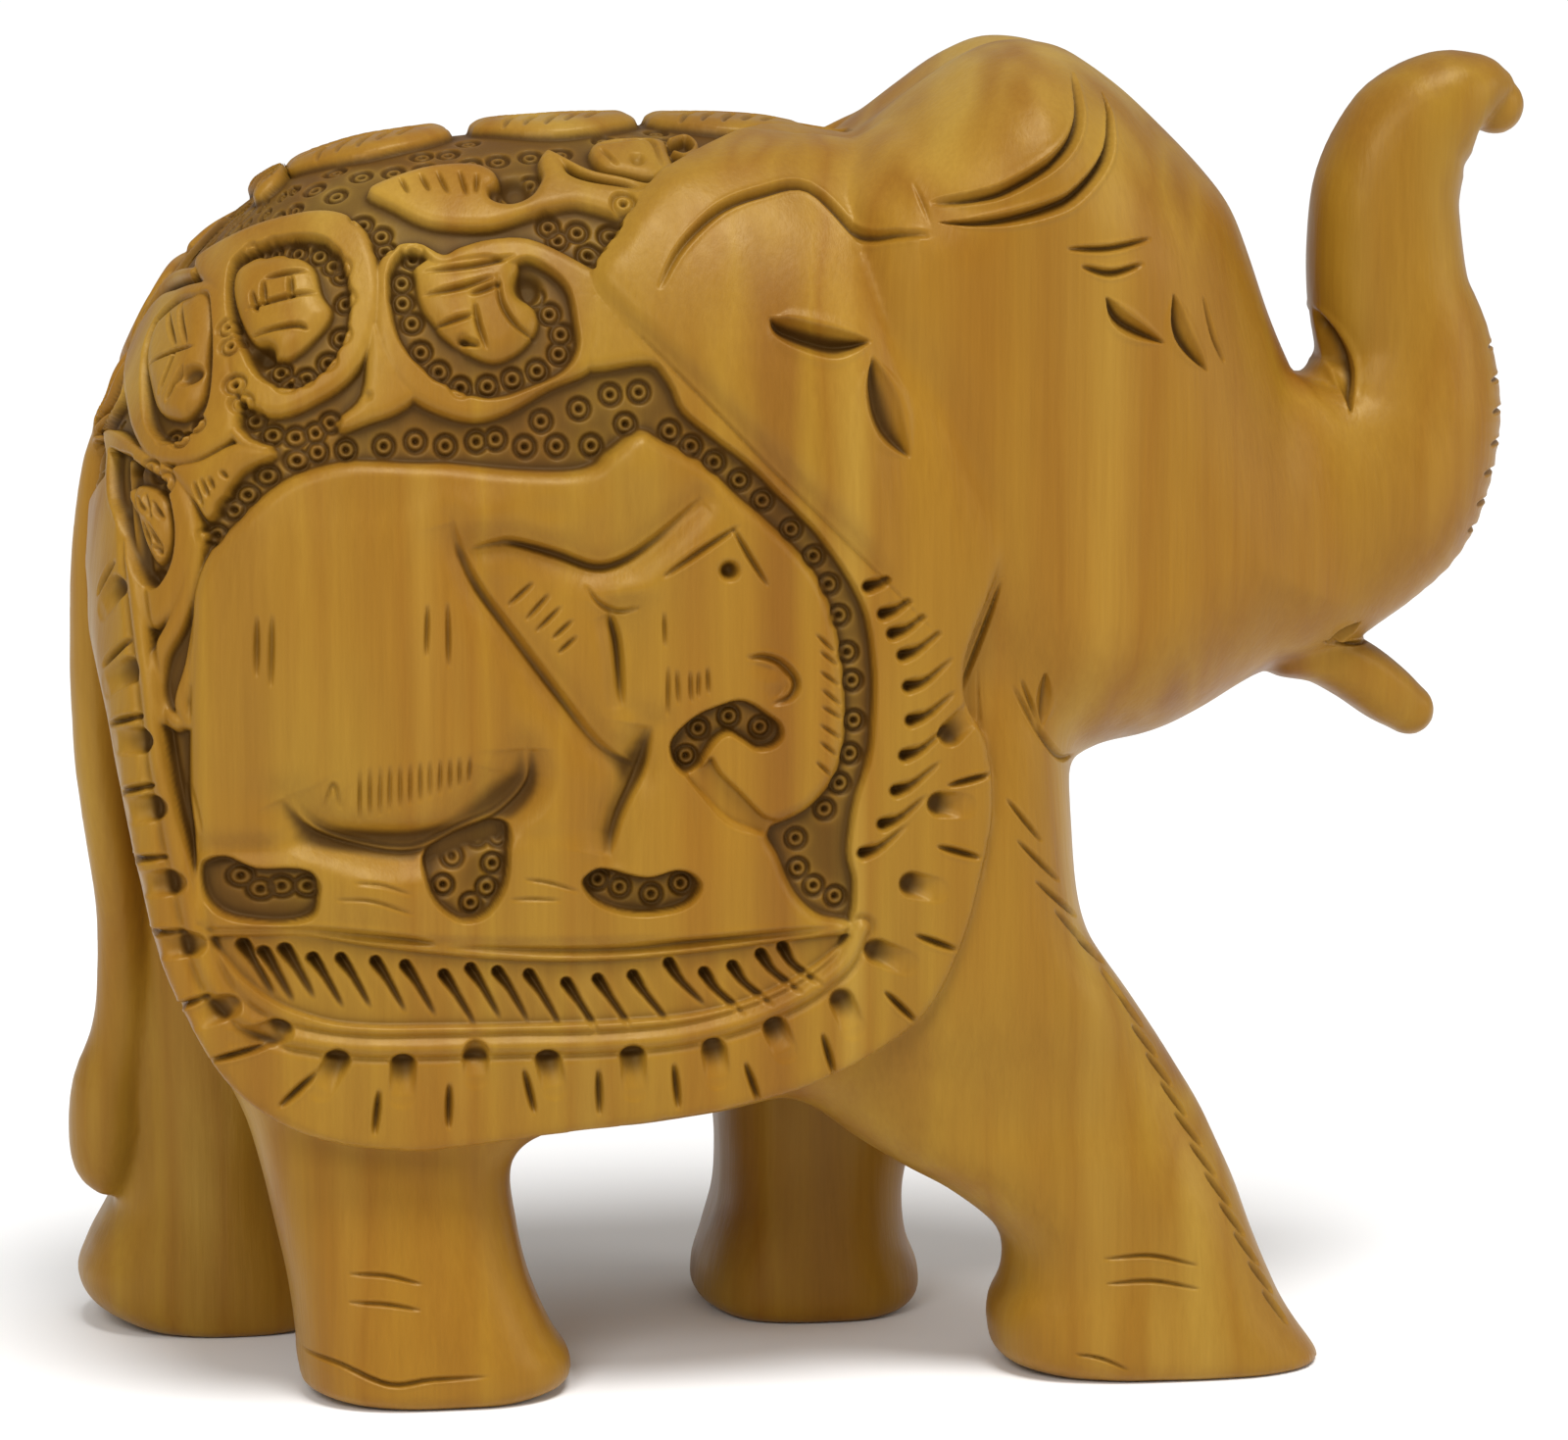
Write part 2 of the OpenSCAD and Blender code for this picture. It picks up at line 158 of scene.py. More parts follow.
# ---------- the body ----------
# x, underside, top, half width of the bare body between its rounded ends
BODY = [
    (-80, 28, 121.7, 28.3), (-56, 28, 127.1, 28.4), (-42, 27.5, 129.8, 28.5), (-28, 27.6, 131.2, 28.5),
    (-14, 28.6, 131.4, 28.5),
    (-2, 31, 130.6, 28.3), (8, 33, 127.4, 27.8), (20, 36.5, 112, 27.2), (30, 40, 98, 26.4), (40, 42, 90, 26),
]
RUMP = (-44.0, 29.9, 2.6)  # where the rump starts to round, how far it reaches, how square it is
CHEST = (4.0, 23.3, 3.2)
HANG = 7.0  # the cloth's sides hang this much straighter than the body under them


def body_tables(x):
    """Middle height, half height and half width of the bare body at x."""
    low, top, half = (table([(s[0], s[k]) for s in BODY], x) for k in (1, 2, 3))
    return (low + top) / 2, (top - low) / 2, half


def ends(x, t=0.0):
    """How far x has used up the rounding of the rump and the chest, from 0 to 1 at their tips."""
    return np.maximum((RUMP[0] - x) / (RUMP[1] + t),
        0) ** RUMP[2] + np.maximum((x - CHEST[0]) / (CHEST[1] + t), 0) ** CHEST[2]


def square(u):
    """How square the section is: flat-sided below the middle, rounded over the back."""
    return 5.25 - 2.75 * np.tanh(3 * u)


def body_field(b, deeper=0.0):
    mid, tall, half = body_tables(b.x)
    mid, tall = mid - deeper / 2, tall + deeper / 2
    u = (b.z - mid) / tall
    n = square(u)
    q = (np.abs(b.y / half) ** n + np.abs(u) ** n + ends(b.x)) ** (1 / n)
    return even((np.minimum(q, 1.7) - 1) * 20)


def flank(x, z, t=0.0):
    """Distance of the cloth's side from the middle plane, for a cloth that stands t off the body."""
    middle, height, half = body_tables(x)
    widest = 0.0
    for deeper in (0.0, HANG):
        mid, tall = middle - deeper / 2, height + deeper / 2
        u = (z - mid) / (tall + t)
        n = square(u)
        widest = np.maximum(widest, (half + t) * np.maximum(1 - np.abs(u) ** n - ends(x, t), 0) ** (1 / n))
    return widest


# ---------- legs ----------
# z, rear x, front x, outer y, inner y
LEGS = {
    "front_leg_right": (-1, [
        (0, 22.4, 55.4, 28, 5), (1.5, 20, 54.4, 28.4, 4.8), (4, 19, 52.6, 28.5, 4.8),
        (7, 19.1, 50.8, 28.2, 5),
        (10, 20.4, 49.4, 27.8, 5.4), (15, 19.8, 47.3, 27.4, 5.4), (20, 13.9, 45.5, 27.2, 5),
        (24, 6.9, 43.8, 27, 4.4), (28, 1.1, 42, 26.6, 4),
        (33, -3.4, 39, 27, 3), (40, -2, 34.5, 28.4, 2), (50, 3, 28, 28.8, 1), (60, 6, 25.7, 28.4, 1),
        (72, 10, 25, 26, 1)]),
    "front_leg_left": (1, [
        (0, -7.6, 14.4, 28, 2.4), (1.5, -9.2, 15.6, 28.4, 2), (4, -9.5, 15.8, 28.5, 2),
        (8, -8.4, 14.4, 28.2, 2.4),
        (13, -7, 14, 27.8, 3), (18, -6.8, 15, 27.6, 3.4), (24, -7.2, 17.8, 27.2, 3.4), (32, -7, 25, 27.2, 3),
        (42, -5, 27.8, 28.4, 2), (52, 0, 26.6, 28.6, 1), (62, 6, 25.2, 28.4, 1), (72, 10, 24.4, 26, 1)]),
    "rear_leg_right": (-1, [
        (0, -52.5, -29.4, 29, 5), (1, -55, -27.5, 29.4, 4.8), (3, -56, -27, 29.5, 4.8),
        (6, -56.2, -28.7, 29.2, 5), (12, -57, -31.2, 28.3, 5.4),
        (18, -58.2, -32.6, 27.4, 5.2), (24, -59.6, -33, 26.6, 4.6), (29, -61, -30.5, 26.2, 4),
        (36, -64, -25, 26.2, 3),
        (46, -66, -22, 26, 2), (60, -66, -24, 25, 2), (72, -60, -30, 22, 4)]),
    "rear_leg_left": (1, [
        (0, -72, -51, 28, 5), (2, -76, -49.4, 28.4, 4.8), (5.5, -78.4, -49.4, 28.5, 4.8),
        (9, -77.4, -51, 28.2, 5),
        (14, -74.8, -53, 27.6, 5.4), (20, -73.4, -54.4, 27, 5.2), (28, -73.2, -52.4, 26.4, 4.4),
        (36, -73.4, -47, 26.2, 3.4),
        (46, -72.4, -43, 25.4, 2.6), (60, -70, -44, 23, 2.6), (72, -64, -50, 18, 4)]),
}


def leg_field(b, name):
    side, rows = LEGS[name]
    x0, x1, y1, y0 = (table([(r[0], r[k]) for r in rows], b.z) for k in (1, 2, 3, 4))
    u = np.abs((b.x - (x0 + x1) / 2) / ((x1 - x0) / 2))
    v = np.abs((side * b.y - (y0 + y1) / 2) / ((y1 - y0) / 2))
    q = (u**2.9 + v**2.5) ** (1 / 2.7)
    f = even((q - 1) * 11)
    return keep(keep(f, b.z, 1.2), 74 - b.z, 6)


# ---------- head, trunk, jaw, ears, tail ----------
HEAD = [
    (0, 127), (4.6, 132), (9, 135.5), (12.6, 138.2), (17.3, 141.3), (22, 142.9), (27, 142.4), (31, 140.4),
    (35, 137.4),
    (40.2, 132.6), (44.3, 128.3), (47.1, 124.5), (49.3, 119.2), (51.8, 112.4), (55, 105.3), (58.9, 97.5),
    (61.4, 90),
    (63.2, 84.6), (63.7, 80.8), (62.2, 78), (60, 76.2), (56, 74.8), (51.8, 73.6), (48, 71.8), (43.6, 69.3),
    (39, 67.4), (34.5, 66.4), (28, 65.8),
    (18, 70), (8, 82), (2, 98), (-2, 114),
]
HEAD_HALF = [(-4, 28), (8, 29.6), (16, 29.4), (24, 28), (32, 25.8), (40, 23), (48, 19.8), (56, 16.6),
    (64, 13.8)]
TRUNK = [  # x, z, half depth, half width
    (52, 91, 15.9, 15.5), (57.8, 93.2, 16.3, 14.4), (63.1, 96.5, 15.1, 12.8), (66.6, 101.6, 12, 11),
    (67.3, 108, 9.9, 9.4), (65.8, 114, 8.9, 8.5), (65.2, 120, 8.5, 7.9), (65.5, 126, 8, 7.5),
    (67.8, 131.8, 7.2, 7.1),
    (71.6, 135, 6.1, 6.6), (74.8, 135.9, 4.9, 5.6), (76.6, 135.5, 4, 4.4), (77.4, 135, 3.2, 3),
]
JAW = [(54, 75.6, 3, 8.6), (58, 75, 3.3, 7.8), (62, 73.1, 3.5, 7), (65.7, 70.4, 3.4, 6), (68.2, 68.6, 2.9, 5)]
EAR = [
    (-24.2, 118.6), (-21.8, 123.8), (-18.2, 128.3), (-14.5, 130.8), (-7.4, 132.7), (2, 133.4), (8, 133.8),
    (13, 131),
    (16, 122), (18.4, 110), (19.4, 99), (18.6, 90), (16, 83.4), (13.4, 80.6), (11.6, 82), (3, 91),
    (-6, 100.2), (-15, 109.4),
]
TAIL = [  # x, y, z, radius
    (-73.4, 0, 102, 1.6), (-74.6, 0, 98, 2.3), (-75.7, 0.4, 89, 2.5), (-76.1, 1.2, 76, 2.5),
    (-75.6, 2.4, 64, 2.5),
    (-73.9, 4.4, 52, 2.6), (-73.4, 6, 45, 2.6), (-73.3, 7.6, 38, 2.9), (-73.9, 8.6, 33, 3.2),
    (-75.1, 9.4, 28, 3.8), (-75.4, 9.8, 23.5, 4),
    (-75.6, 10, 20, 3.4), (-75.2, 10, 17.8, 2.2),
]


def head_field(b):
    d = outline(HEAD, *b.flat)[:, None, :]
    round_in = 17.0
    t = np.maximum((d + round_in) / round_in, 0)
    half = table(HEAD_HALF, b.x)
    q = (t**2.3 + np.abs(b.y / half) ** 2.3) ** (1 / 2.3)
    valley = 0.9 * np.exp(-((b.y / 3.5) ** 2)) * np.clip((b.z - 126) / 12, 0, 1) * np.clip((40 - b.x) / 12,
        0, 1)
    return even((q - 1) * 17) + valley


def swept(b, rows, power=2.2):
    """A stem in the middle plane along rows of x, z, half depth, half width."""
    rows = np.array(rows, float)
    line = curve(rows[:, :2], cuts=6)
    size = curve(rows[:, 2:], cuts=6)
    r, k = line_distance(line, *b.flat)
    i = np.clip(k.astype(int), 0, len(size) - 2)
    f = (k - i)[..., None]
    s = size[i] * (1 - f) + size[i + 1] * f
    q = ((r / s[..., 0])[:, None, :] ** power + np.abs(b.y / s[..., 1][:, None, :]) ** power) ** (1 / power)
    return (q - 1) * np.minimum(s[..., 0], s[..., 1])[:, None, :]


def tail_field(b):
    best = np.full((b.x.size, b.y.size, b.z.size), 9, np.float32)
    line = curve(TAIL, cuts=3)
    for a, c in zip(line[:-1], line[1:]):
        d = c[:3] - a[:3]
        t = np.clip(((b.x - a[0]) * d[0] + (b.y - a[1]) * d[1] + (b.z - a[2]) * d[2]) / (d @ d), 0, 1)
        r = np.sqrt(
            (b.x - a[0] - t * d[0]) ** 2
            + ((b.y - a[1] - t * d[1]) / 1.15) ** 2
            + (b.z - a[2] - t * d[2]) ** 2
        )
        best = np.minimum(best, r - a[3] - t * (c[3] - a[3]))
    return best


# Outer edge of the cloth in side view, closed far over the back
CLOTH = [
    (-96, 150), (-96, 98), (-79, 90), (-76.8, 81), (-75.2, 73), (-74, 66), (-72.3, 57), (-70.4, 49),
    (-67.6, 42.4), (-63.6, 36), (-58, 31.6), (-52, 29.4),
    (-44, 28.4), (-36, 29.1), (-28, 30), (-20, 30.8), (-11, 32.1), (-3, 34.2), (4.4, 37.6), (10, 42),
    (13.4, 48.6), (15.6, 56),
    (16.8, 63), (16.2, 70), (13.6, 78), (20, 100), (20, 150),
]
REAR_GAP = 9.0  # the cloth's rear edges stand this far from the middle plane
REAR_TOP = 102.0  # and meet over the root of the tail at this height


OWNERS = ["body", "leg", "head", "trunk", "lower_jaw", "ear", "cloth", "tail"]


def build_solid():
    """The whole carving before its cuts, as one field on the grid, and which part each place belongs to."""
    solid = np.full(SIZE, 9, np.float32)
    owner = np.zeros(SIZE, np.int8)

    def add(b, f, k, name):
        owner[b.cut] = np.where(f < solid[b.cut], OWNERS.index(name), owner[b.cut])
        solid[b.cut] = blend(solid[b.cut], f, k)

    b = Box((-84, -37, 20), (42, 37, 142))
    body = body_field(b)
    region = outline(CLOTH, *b.flat)[:, None, :]
    arch = REAR_GAP * np.sqrt(np.maximum(1 - np.maximum((b.z - 70) / (REAR_TOP - 70), 0) ** 2, 0))
    gap = np.minimum(arch - np.abs(b.y), -62 - b.x)
    hanging = np.minimum(body, body_field(b,
        HANG)) - CLOTH_T  # the cloth's sides hang straight to its lower edge
    cloth = keep(keep(hanging, -region, 0.7), -gap, 1.2)
    behind = 40 * (np.clip((b.x + 50) / 8, 0, 1) + np.clip((b.z - 84) / 8, 0, 1))
    add(b, keep(body, behind - region - 1.5, 2.0), 0.01,
        "body")  # under the rump the body ends with the cloth
    for name, low, high in (
        ("front_leg_right", (-12, -37, -4), (64, 8, 80)), ("front_leg_left", (-22, -8, -4), (44, 37, 80)),
        ("rear_leg_right", (-76, -37, -4), (-14, 8, 80)), ("rear_leg_left", (-84, -8, -4), (-34, 37, 80)),
    ):
        c = Box(low, high)
        add(c, leg_field(c, name), 4.0, "leg")
    c = Box((-10, -36, 56), (76, 36, 148))
    add(c, head_field(c), 5.0, "head")
    c = Box((40, -26, 70), (84, 26, 146))
    add(c, swept(c, TRUNK), 3.0, "trunk")
    c = Box((46, -20, 60), (80, 20, 84))
    add(c, swept(c, JAW, 3.0), 0.6, "lower_jaw")
    ear_box = Box((-30, -37, 72), (30, 37, 140))
    ear = outline(EAR, *ear_box.flat)[:, None, :]
    i0 = ear_box.cut[0].start - b.cut[0].start
    k0 = ear_box.cut[2].start - b.cut[2].start
    under = body[i0 : i0 + ear_box.x.size, :, k0 : k0 + ear_box.z.size]
    front = np.clip((ear_box.x - 2) / 12.5, 0, 1)
    stand = 4.9 * (1 - front * front * (3 - 2 * front))  # the ear's front runs out into the cheek
    base = np.minimum(under - stand, solid[ear_box.cut] - 0.25 * stand) + 1.3 * np.clip(1 - stand / 2, 0, 1)
    ear = np.maximum(keep(base, -ear, 2.4), 10 - np.abs(ear_box.y))
    add(b, cloth, 0.4, "cloth")
    add(ear_box, ear, 1.2, "ear")
    c = Box((-84, -12, 10), (-66, 18, 108))
    add(c, tail_field(c), 2.4, "tail")
    return solid, owner


def mesh_solid(solid):
    """Points in mm and quads of the field's zero surface."""
    grid = vdb.FloatGrid(9.0)
    grid.copyFromArray(solid)
    points, _, quads = grid.convertToPolygons(isovalue=0.0, adaptivity=0.0)
    return (points * STEP + LOW).astype(np.float64), quads.astype(np.int64)


# ---------- the carving, drawn on flat charts ----------
RES = 0.12  # mm between the samples of a chart
WRAP_TOP = (100.0, 29.0)  # above this height the side chart goes round the back at this radius
WRAP_REAR = (-55.0, 24.0)  # behind this x it goes round the rump
GROUND = 1.5  # depth of the cut-away ground


class Chart:
    """A height map in mm over a flat area, with the carver's tools."""

    def __init__(self, low, high):
        self.low = low
        self.u, self.v = (low[i] + RES * np.arange(int((high[i] - low[i]) / RES) + 1) for i in (0, 1))
        self.h = np.zeros((self.u.size, self.v.size), np.float32)
        self.bite = np.zeros_like(self.h)  # punched marks, which don't add up where they overlap

    def span(self, p, reach):
        """Slices of the part of the chart within reach of the points."""
        p = np.asarray(p)
        out = []
        for i, axis in ((0, self.u), (1, self.v)):
            a, b = np.searchsorted(axis, (p[:, i].min() - reach, p[:, i].max() + reach))
            out.append(slice(a, b))
        return tuple(out)

    def near(self, line, reach, closed=False):
        """Distance to the line, and place along it, looked at only within reach."""
        line = np.asarray(line, float)
        d = np.full(self.h.shape, reach, np.float32)
        t = np.zeros(self.h.shape, np.float32)
        n = len(line)
        for k in range(n if closed else n - 1):
            a, b = line[k], line[(k + 1) % n]
            s = self.span((a, b), reach)
            x, y = self.u[s[0]][:, None], self.v[s[1]][None, :]
            e = b - a
            w = np.clip(((x - a[0]) * e[0] + (y - a[1]) * e[1]) / max(e @ e, 1e-9), 0, 1)
            r = np.hypot(x - a[0] - w * e[0], y - a[1] - w * e[1])
            hit = r < d[s]
            d[s] = np.where(hit, r, d[s])
            t[s] = np.where(hit, k + w, t[s])
        return d, t / max(n - 1, 1)

    def outline(self, points, reach, cuts=4):
        """Signed distance to a smooth closed outline, negative inside."""
        line = curve(points, True, cuts)
        d, _ = self.near(line, reach, True)
        hit = np.zeros(self.h.shape, bool)
        for k in range(len(line)):
            (ax, ay), (bx, by) = line[k], line[(k + 1) % len(line)]
            if ay == by:
                continue
            rows = slice(*np.searchsorted(self.v, (min(ay, by), max(ay, by))))
            edge = ax + (bx - ax) * (self.v[rows] - ay) / (by - ay)
            hit[:, rows] ^= self.u[:, None] < edge[None, :]
        return np.where(hit, -d, d)

    def sink(self, points, level, run=0.6):
        """Cuts the area inside the outline down to a flat floor."""
        d = self.outline(points, run + 0.2)
        t = np.clip(-d / run, 0, 1)
        t = t * t * (3 - 2 * t)
        self.h = np.where(t > 0, np.minimum(self.h, self.h * (1 - t) - level * t), self.h)

    def leave(self, points, level, drop, soft):
        """Leaves a raised shape standing, rounded over its edge."""
        d = self.outline(points, max(soft, 2.5) + 0.1)
        top = level - drop * np.clip(1 + d / soft, 0, 1) ** 2 - 2.6 * np.maximum(d, 0)
        self.h = np.maximum(self.h, np.where(d < 2.4, top, -9))

    def ridge(self, line, width, level=0.0):
        d, _ = self.near(curve(line, cuts=5), width + 2)
        r = d / (width / 2)
        self.h = np.maximum(self.h, np.where(d < width, level - 0.35 * r**2 - 1.6 * np.maximum(r - 1, 0), -9))

    def cut(self, line, width, depth, blunt=0.0):
        """A V cut that tapers at its ends; blunt keeps its first end wide."""
        line = curve(line, cuts=5) if len(line) > 2 else np.asarray(line, float)
        s = self.span(line, width)
        part = Chart.__new__(Chart)
        part.u, part.v, part.h = self.u[s[0]], self.v[s[1]], self.h[s]
        d, t = part.near(line, width)
        t = np.clip(t * (1 - blunt) + blunt, 0, 1) if blunt else t
        size = np.sqrt(np.clip(4 * t * (1 - t), 0.02, 1))
        w = width / 2 * ((0.35 + 0.65 * size) if width < 1.6 else (0.05 + 0.95 * size * size))
        v = np.clip(1 - d / w, 0, 1)
        lip = 0.1 * depth * np.exp(-(((d - 1.25 * w) / (0.4 * w)) ** 2)) * size
        self.h[s] += lip - depth * size * v ** 0.85

    def swell(self, u, v, wide, tall, height, where):
        r = ((self.u[:, None] - u) / wide) ** 2 + ((self.v[None, :] - v) / tall) ** 2
        self.h += np.where(where, height * np.exp(-1.2 * r), 0)

    def scoop(self, line, width, depth, where):
        """A broad shallow hollow along a line."""
        d, _ = self.near(curve(line, cuts=4), width)
        self.h -= np.where(where, depth * np.exp(-((2.2 * d / width) ** 2)), 0)

    def shelf(self, line, run, depth, where):
        """A step down along a line, steep on the line and running out on its left."""
        line = curve(line, cuts=5)
        n = len(line) - 1
        d = np.full(self.h.shape, run, np.float32)
        fall = np.zeros(self.h.shape, np.float32)
        for k in range(n):
            a, e = line[k], line[k + 1] - line[k]
            s = self.span((a, a + e), run)
            x, y = self.u[s[0]][:, None] - a[0], self.v[s[1]][None, :] - a[1]
            w = np.clip((x * e[0] + y * e[1]) / max(e @ e, 1e-9), 0, 1)
            x, y = x - w * e[0], y - w * e[1]
            r = np.hypot(x, y)
            t = (k + w) / n
            hit = r < d[s]
            d[s] = np.where(hit, r, d[s])
            fall[s] = np.where(hit, np.where(e[0] * y - e[1] * x > 0,
                np.sqrt(np.clip(6 * np.minimum(t, 1 - t), 0, 1)), 0), fall[s])
        edge = np.clip(d / 0.45, 0, 1)
        self.h -= np.where(where, depth * fall * edge * (1 - d / run) ** 1.3, 0)

    def drop(self, p, out, length, width, depth):
        """A gouged dent: deep and round at p, running out shallow."""
        p, out = np.asarray(p, float), np.asarray(out, float)
        s = self.span([p, p + out * length], width)
        x, y = self.u[s[0]][:, None] - p[0], self.v[s[1]][None, :] - p[1]
        a, b = x * out[0] + y * out[1], y * out[0] - x * out[1]
        r = np.hypot(np.where(a < 0, a, np.maximum(a - length, 0)), b) / (width / 2)
        self.h[s] -= depth * (1 - 0.85 * np.clip(a / length, 0, 1)) * np.sqrt(np.clip(1 - r * r, 0, 1))

    def dot(self, u, v, radius, depth):
        s = self.span([(u, v)], radius * 2)
        r = np.hypot(self.u[s[0]][:, None] - u, self.v[s[1]][None, :] - v) / radius
        self.bite[s] = np.maximum(self.bite[s], depth * np.exp(-(r**4)))

    def ring(self, u, v):
        """The mark of a ring punch with a centre dot."""
        s = self.span([(u, v)], 2.2)
        r = np.hypot(self.u[s[0]][:, None] - u, self.v[s[1]][None, :] - v)
        mark = 0.5 * np.exp(-(((r - 1.05) / 0.2) ** 2)) + 0.8 * np.exp(-((r / 0.32) ** 4)) + 0.12 * (r < 1.3)
        self.bite[s] = np.maximum(self.bite[s], mark)

    def at(self, u, v):
        """Heights at the given places."""
        x = np.clip((u - self.u[0]) / RES, 0, self.u.size - 1.001)
        y = np.clip((v - self.v[0]) / RES, 0, self.v.size - 1.001)
        i, j = x.astype(int), y.astype(int)
        x, y = x - i, y - j
        h = self.h
        return (h[i, j] * (1 - x) + h[i + 1, j] * x) * (1 - y) + (h[i, j + 1] * (1 - x) + h[i + 1,
            j + 1] * x) * y


def soften(a, n):
    """Blurs an array n times with a small kernel."""
    for _ in range(n):
        for axis in (0, 1):
            a = (np.roll(a, 1, axis) + 2 * a + np.roll(a, -1, axis)) / 4
    return a


# What is carved, in mm: u runs along the flank, and v up it and over the back.
# The places in the tables from here to LEAF_SIDE were read by eye off the photo, and a scratch program
# turned them into millimetres and wrote the tables out.
FIELD = [
    (-74.3, 100), (-72.5, 95.1), (-70.6, 89.3), (-69.3, 83.4), (-68.2, 77.5), (-67.1, 71.5), (-66, 65.5),
    (-64.9, 60.5), (-64.3, 57.4), (-63.7, 54.3), (-63.3, 52.5), (-53.7, 52.1), (-36.5, 51), (-15.9, 50.7),
    (-0.4, 51.3), (1.9, 52), (2.3, 56), (1.7, 59.1), (2.3, 63.9), (3.2, 66.8), (4, 69.7), (4.3, 73),
    (4.4, 77.1),
    (4.1, 80.8), (3.5, 84.1), (2.3, 87), (0.2, 90.4), (-2.3, 93.7), (-5.6, 97), (-8.8, 100.3), (-12.4, 103),
    (-15.6, 105.6), (-17, 108.5), (-20.4, 113), (-23.7, 116.9), (-22.9, 119.9), (-20.8, 124.2),
    (-17.2, 129.3),
    (-13.7, 132), (-1.8, 141.7), (3.6, 142.3), (6, 150), (-100, 150), (-100, 104), (-97, 90),
]
FIGURE = [
    (-63.9, 61.5), (-64.3, 67.6), (-64.4, 73.7), (-64.5, 79.8), (-64.4, 84.6), (-64.2, 87.8), (-63, 91.5),
    (-60.8, 94.4), (-58.5, 97.2), (-55.9, 99.3), (-52.9, 100.3), (-49.7, 100.7), (-44.1, 100.4),
    (-40.1, 100.3),
    (-34.5, 99.7), (-28.4, 99.4), (-25.3, 100), (-23.9, 101.2), (-21.8, 102.7), (-20.2, 103.3),
    (-18.6, 102.5),
    (-16.6, 101.5), (-13.7, 99.7), (-10.9, 96.9), (-8, 94.4), (-5.6, 92.1), (-3.5, 89.8), (-1.9, 87.4),
    (-0.7, 84.4),
    (0.2, 80.5), (0.6, 76.8), (0.7, 72.6), (0.4, 69.8), (-0.4, 67.3), (-1.7, 65.5), (-3.5, 63.9),
    (-5.6, 62.9),
    (-7.1, 62.3), (-7.5, 60.9), (-6.4, 58.8), (-5.4, 56.2), (-3.9, 53.9), (-1.7, 52.2), (1.7, 51.4),
    (0.6, 50.6),
    (-15.9, 50.1), (-36.5, 50.4), (-53.7, 51.6), (-63.4, 52.3), (-64, 57.4),
]
CRESCENT = [
    (-63.1, 51.7), (-59.4, 52.1), (-55.1, 52), (-49.7, 51), (-44.6, 50.2), (-36.5, 49.2), (-28.3, 48.7),
    (-20.1, 48.9), (-11.8, 49.6), (-5.6, 50.2), (1.5, 50.6), (-0.4, 48.2), (-3.9, 45.8), (-8.7, 43.6),
    (-13.9, 42.3),
    (-20.1, 41.7), (-30.4, 41.5), (-40.6, 41.6), (-48.7, 41.8), (-53.8, 42.5), (-57.4, 44.1), (-60.2, 46.6),
    (-62, 49.2),
]
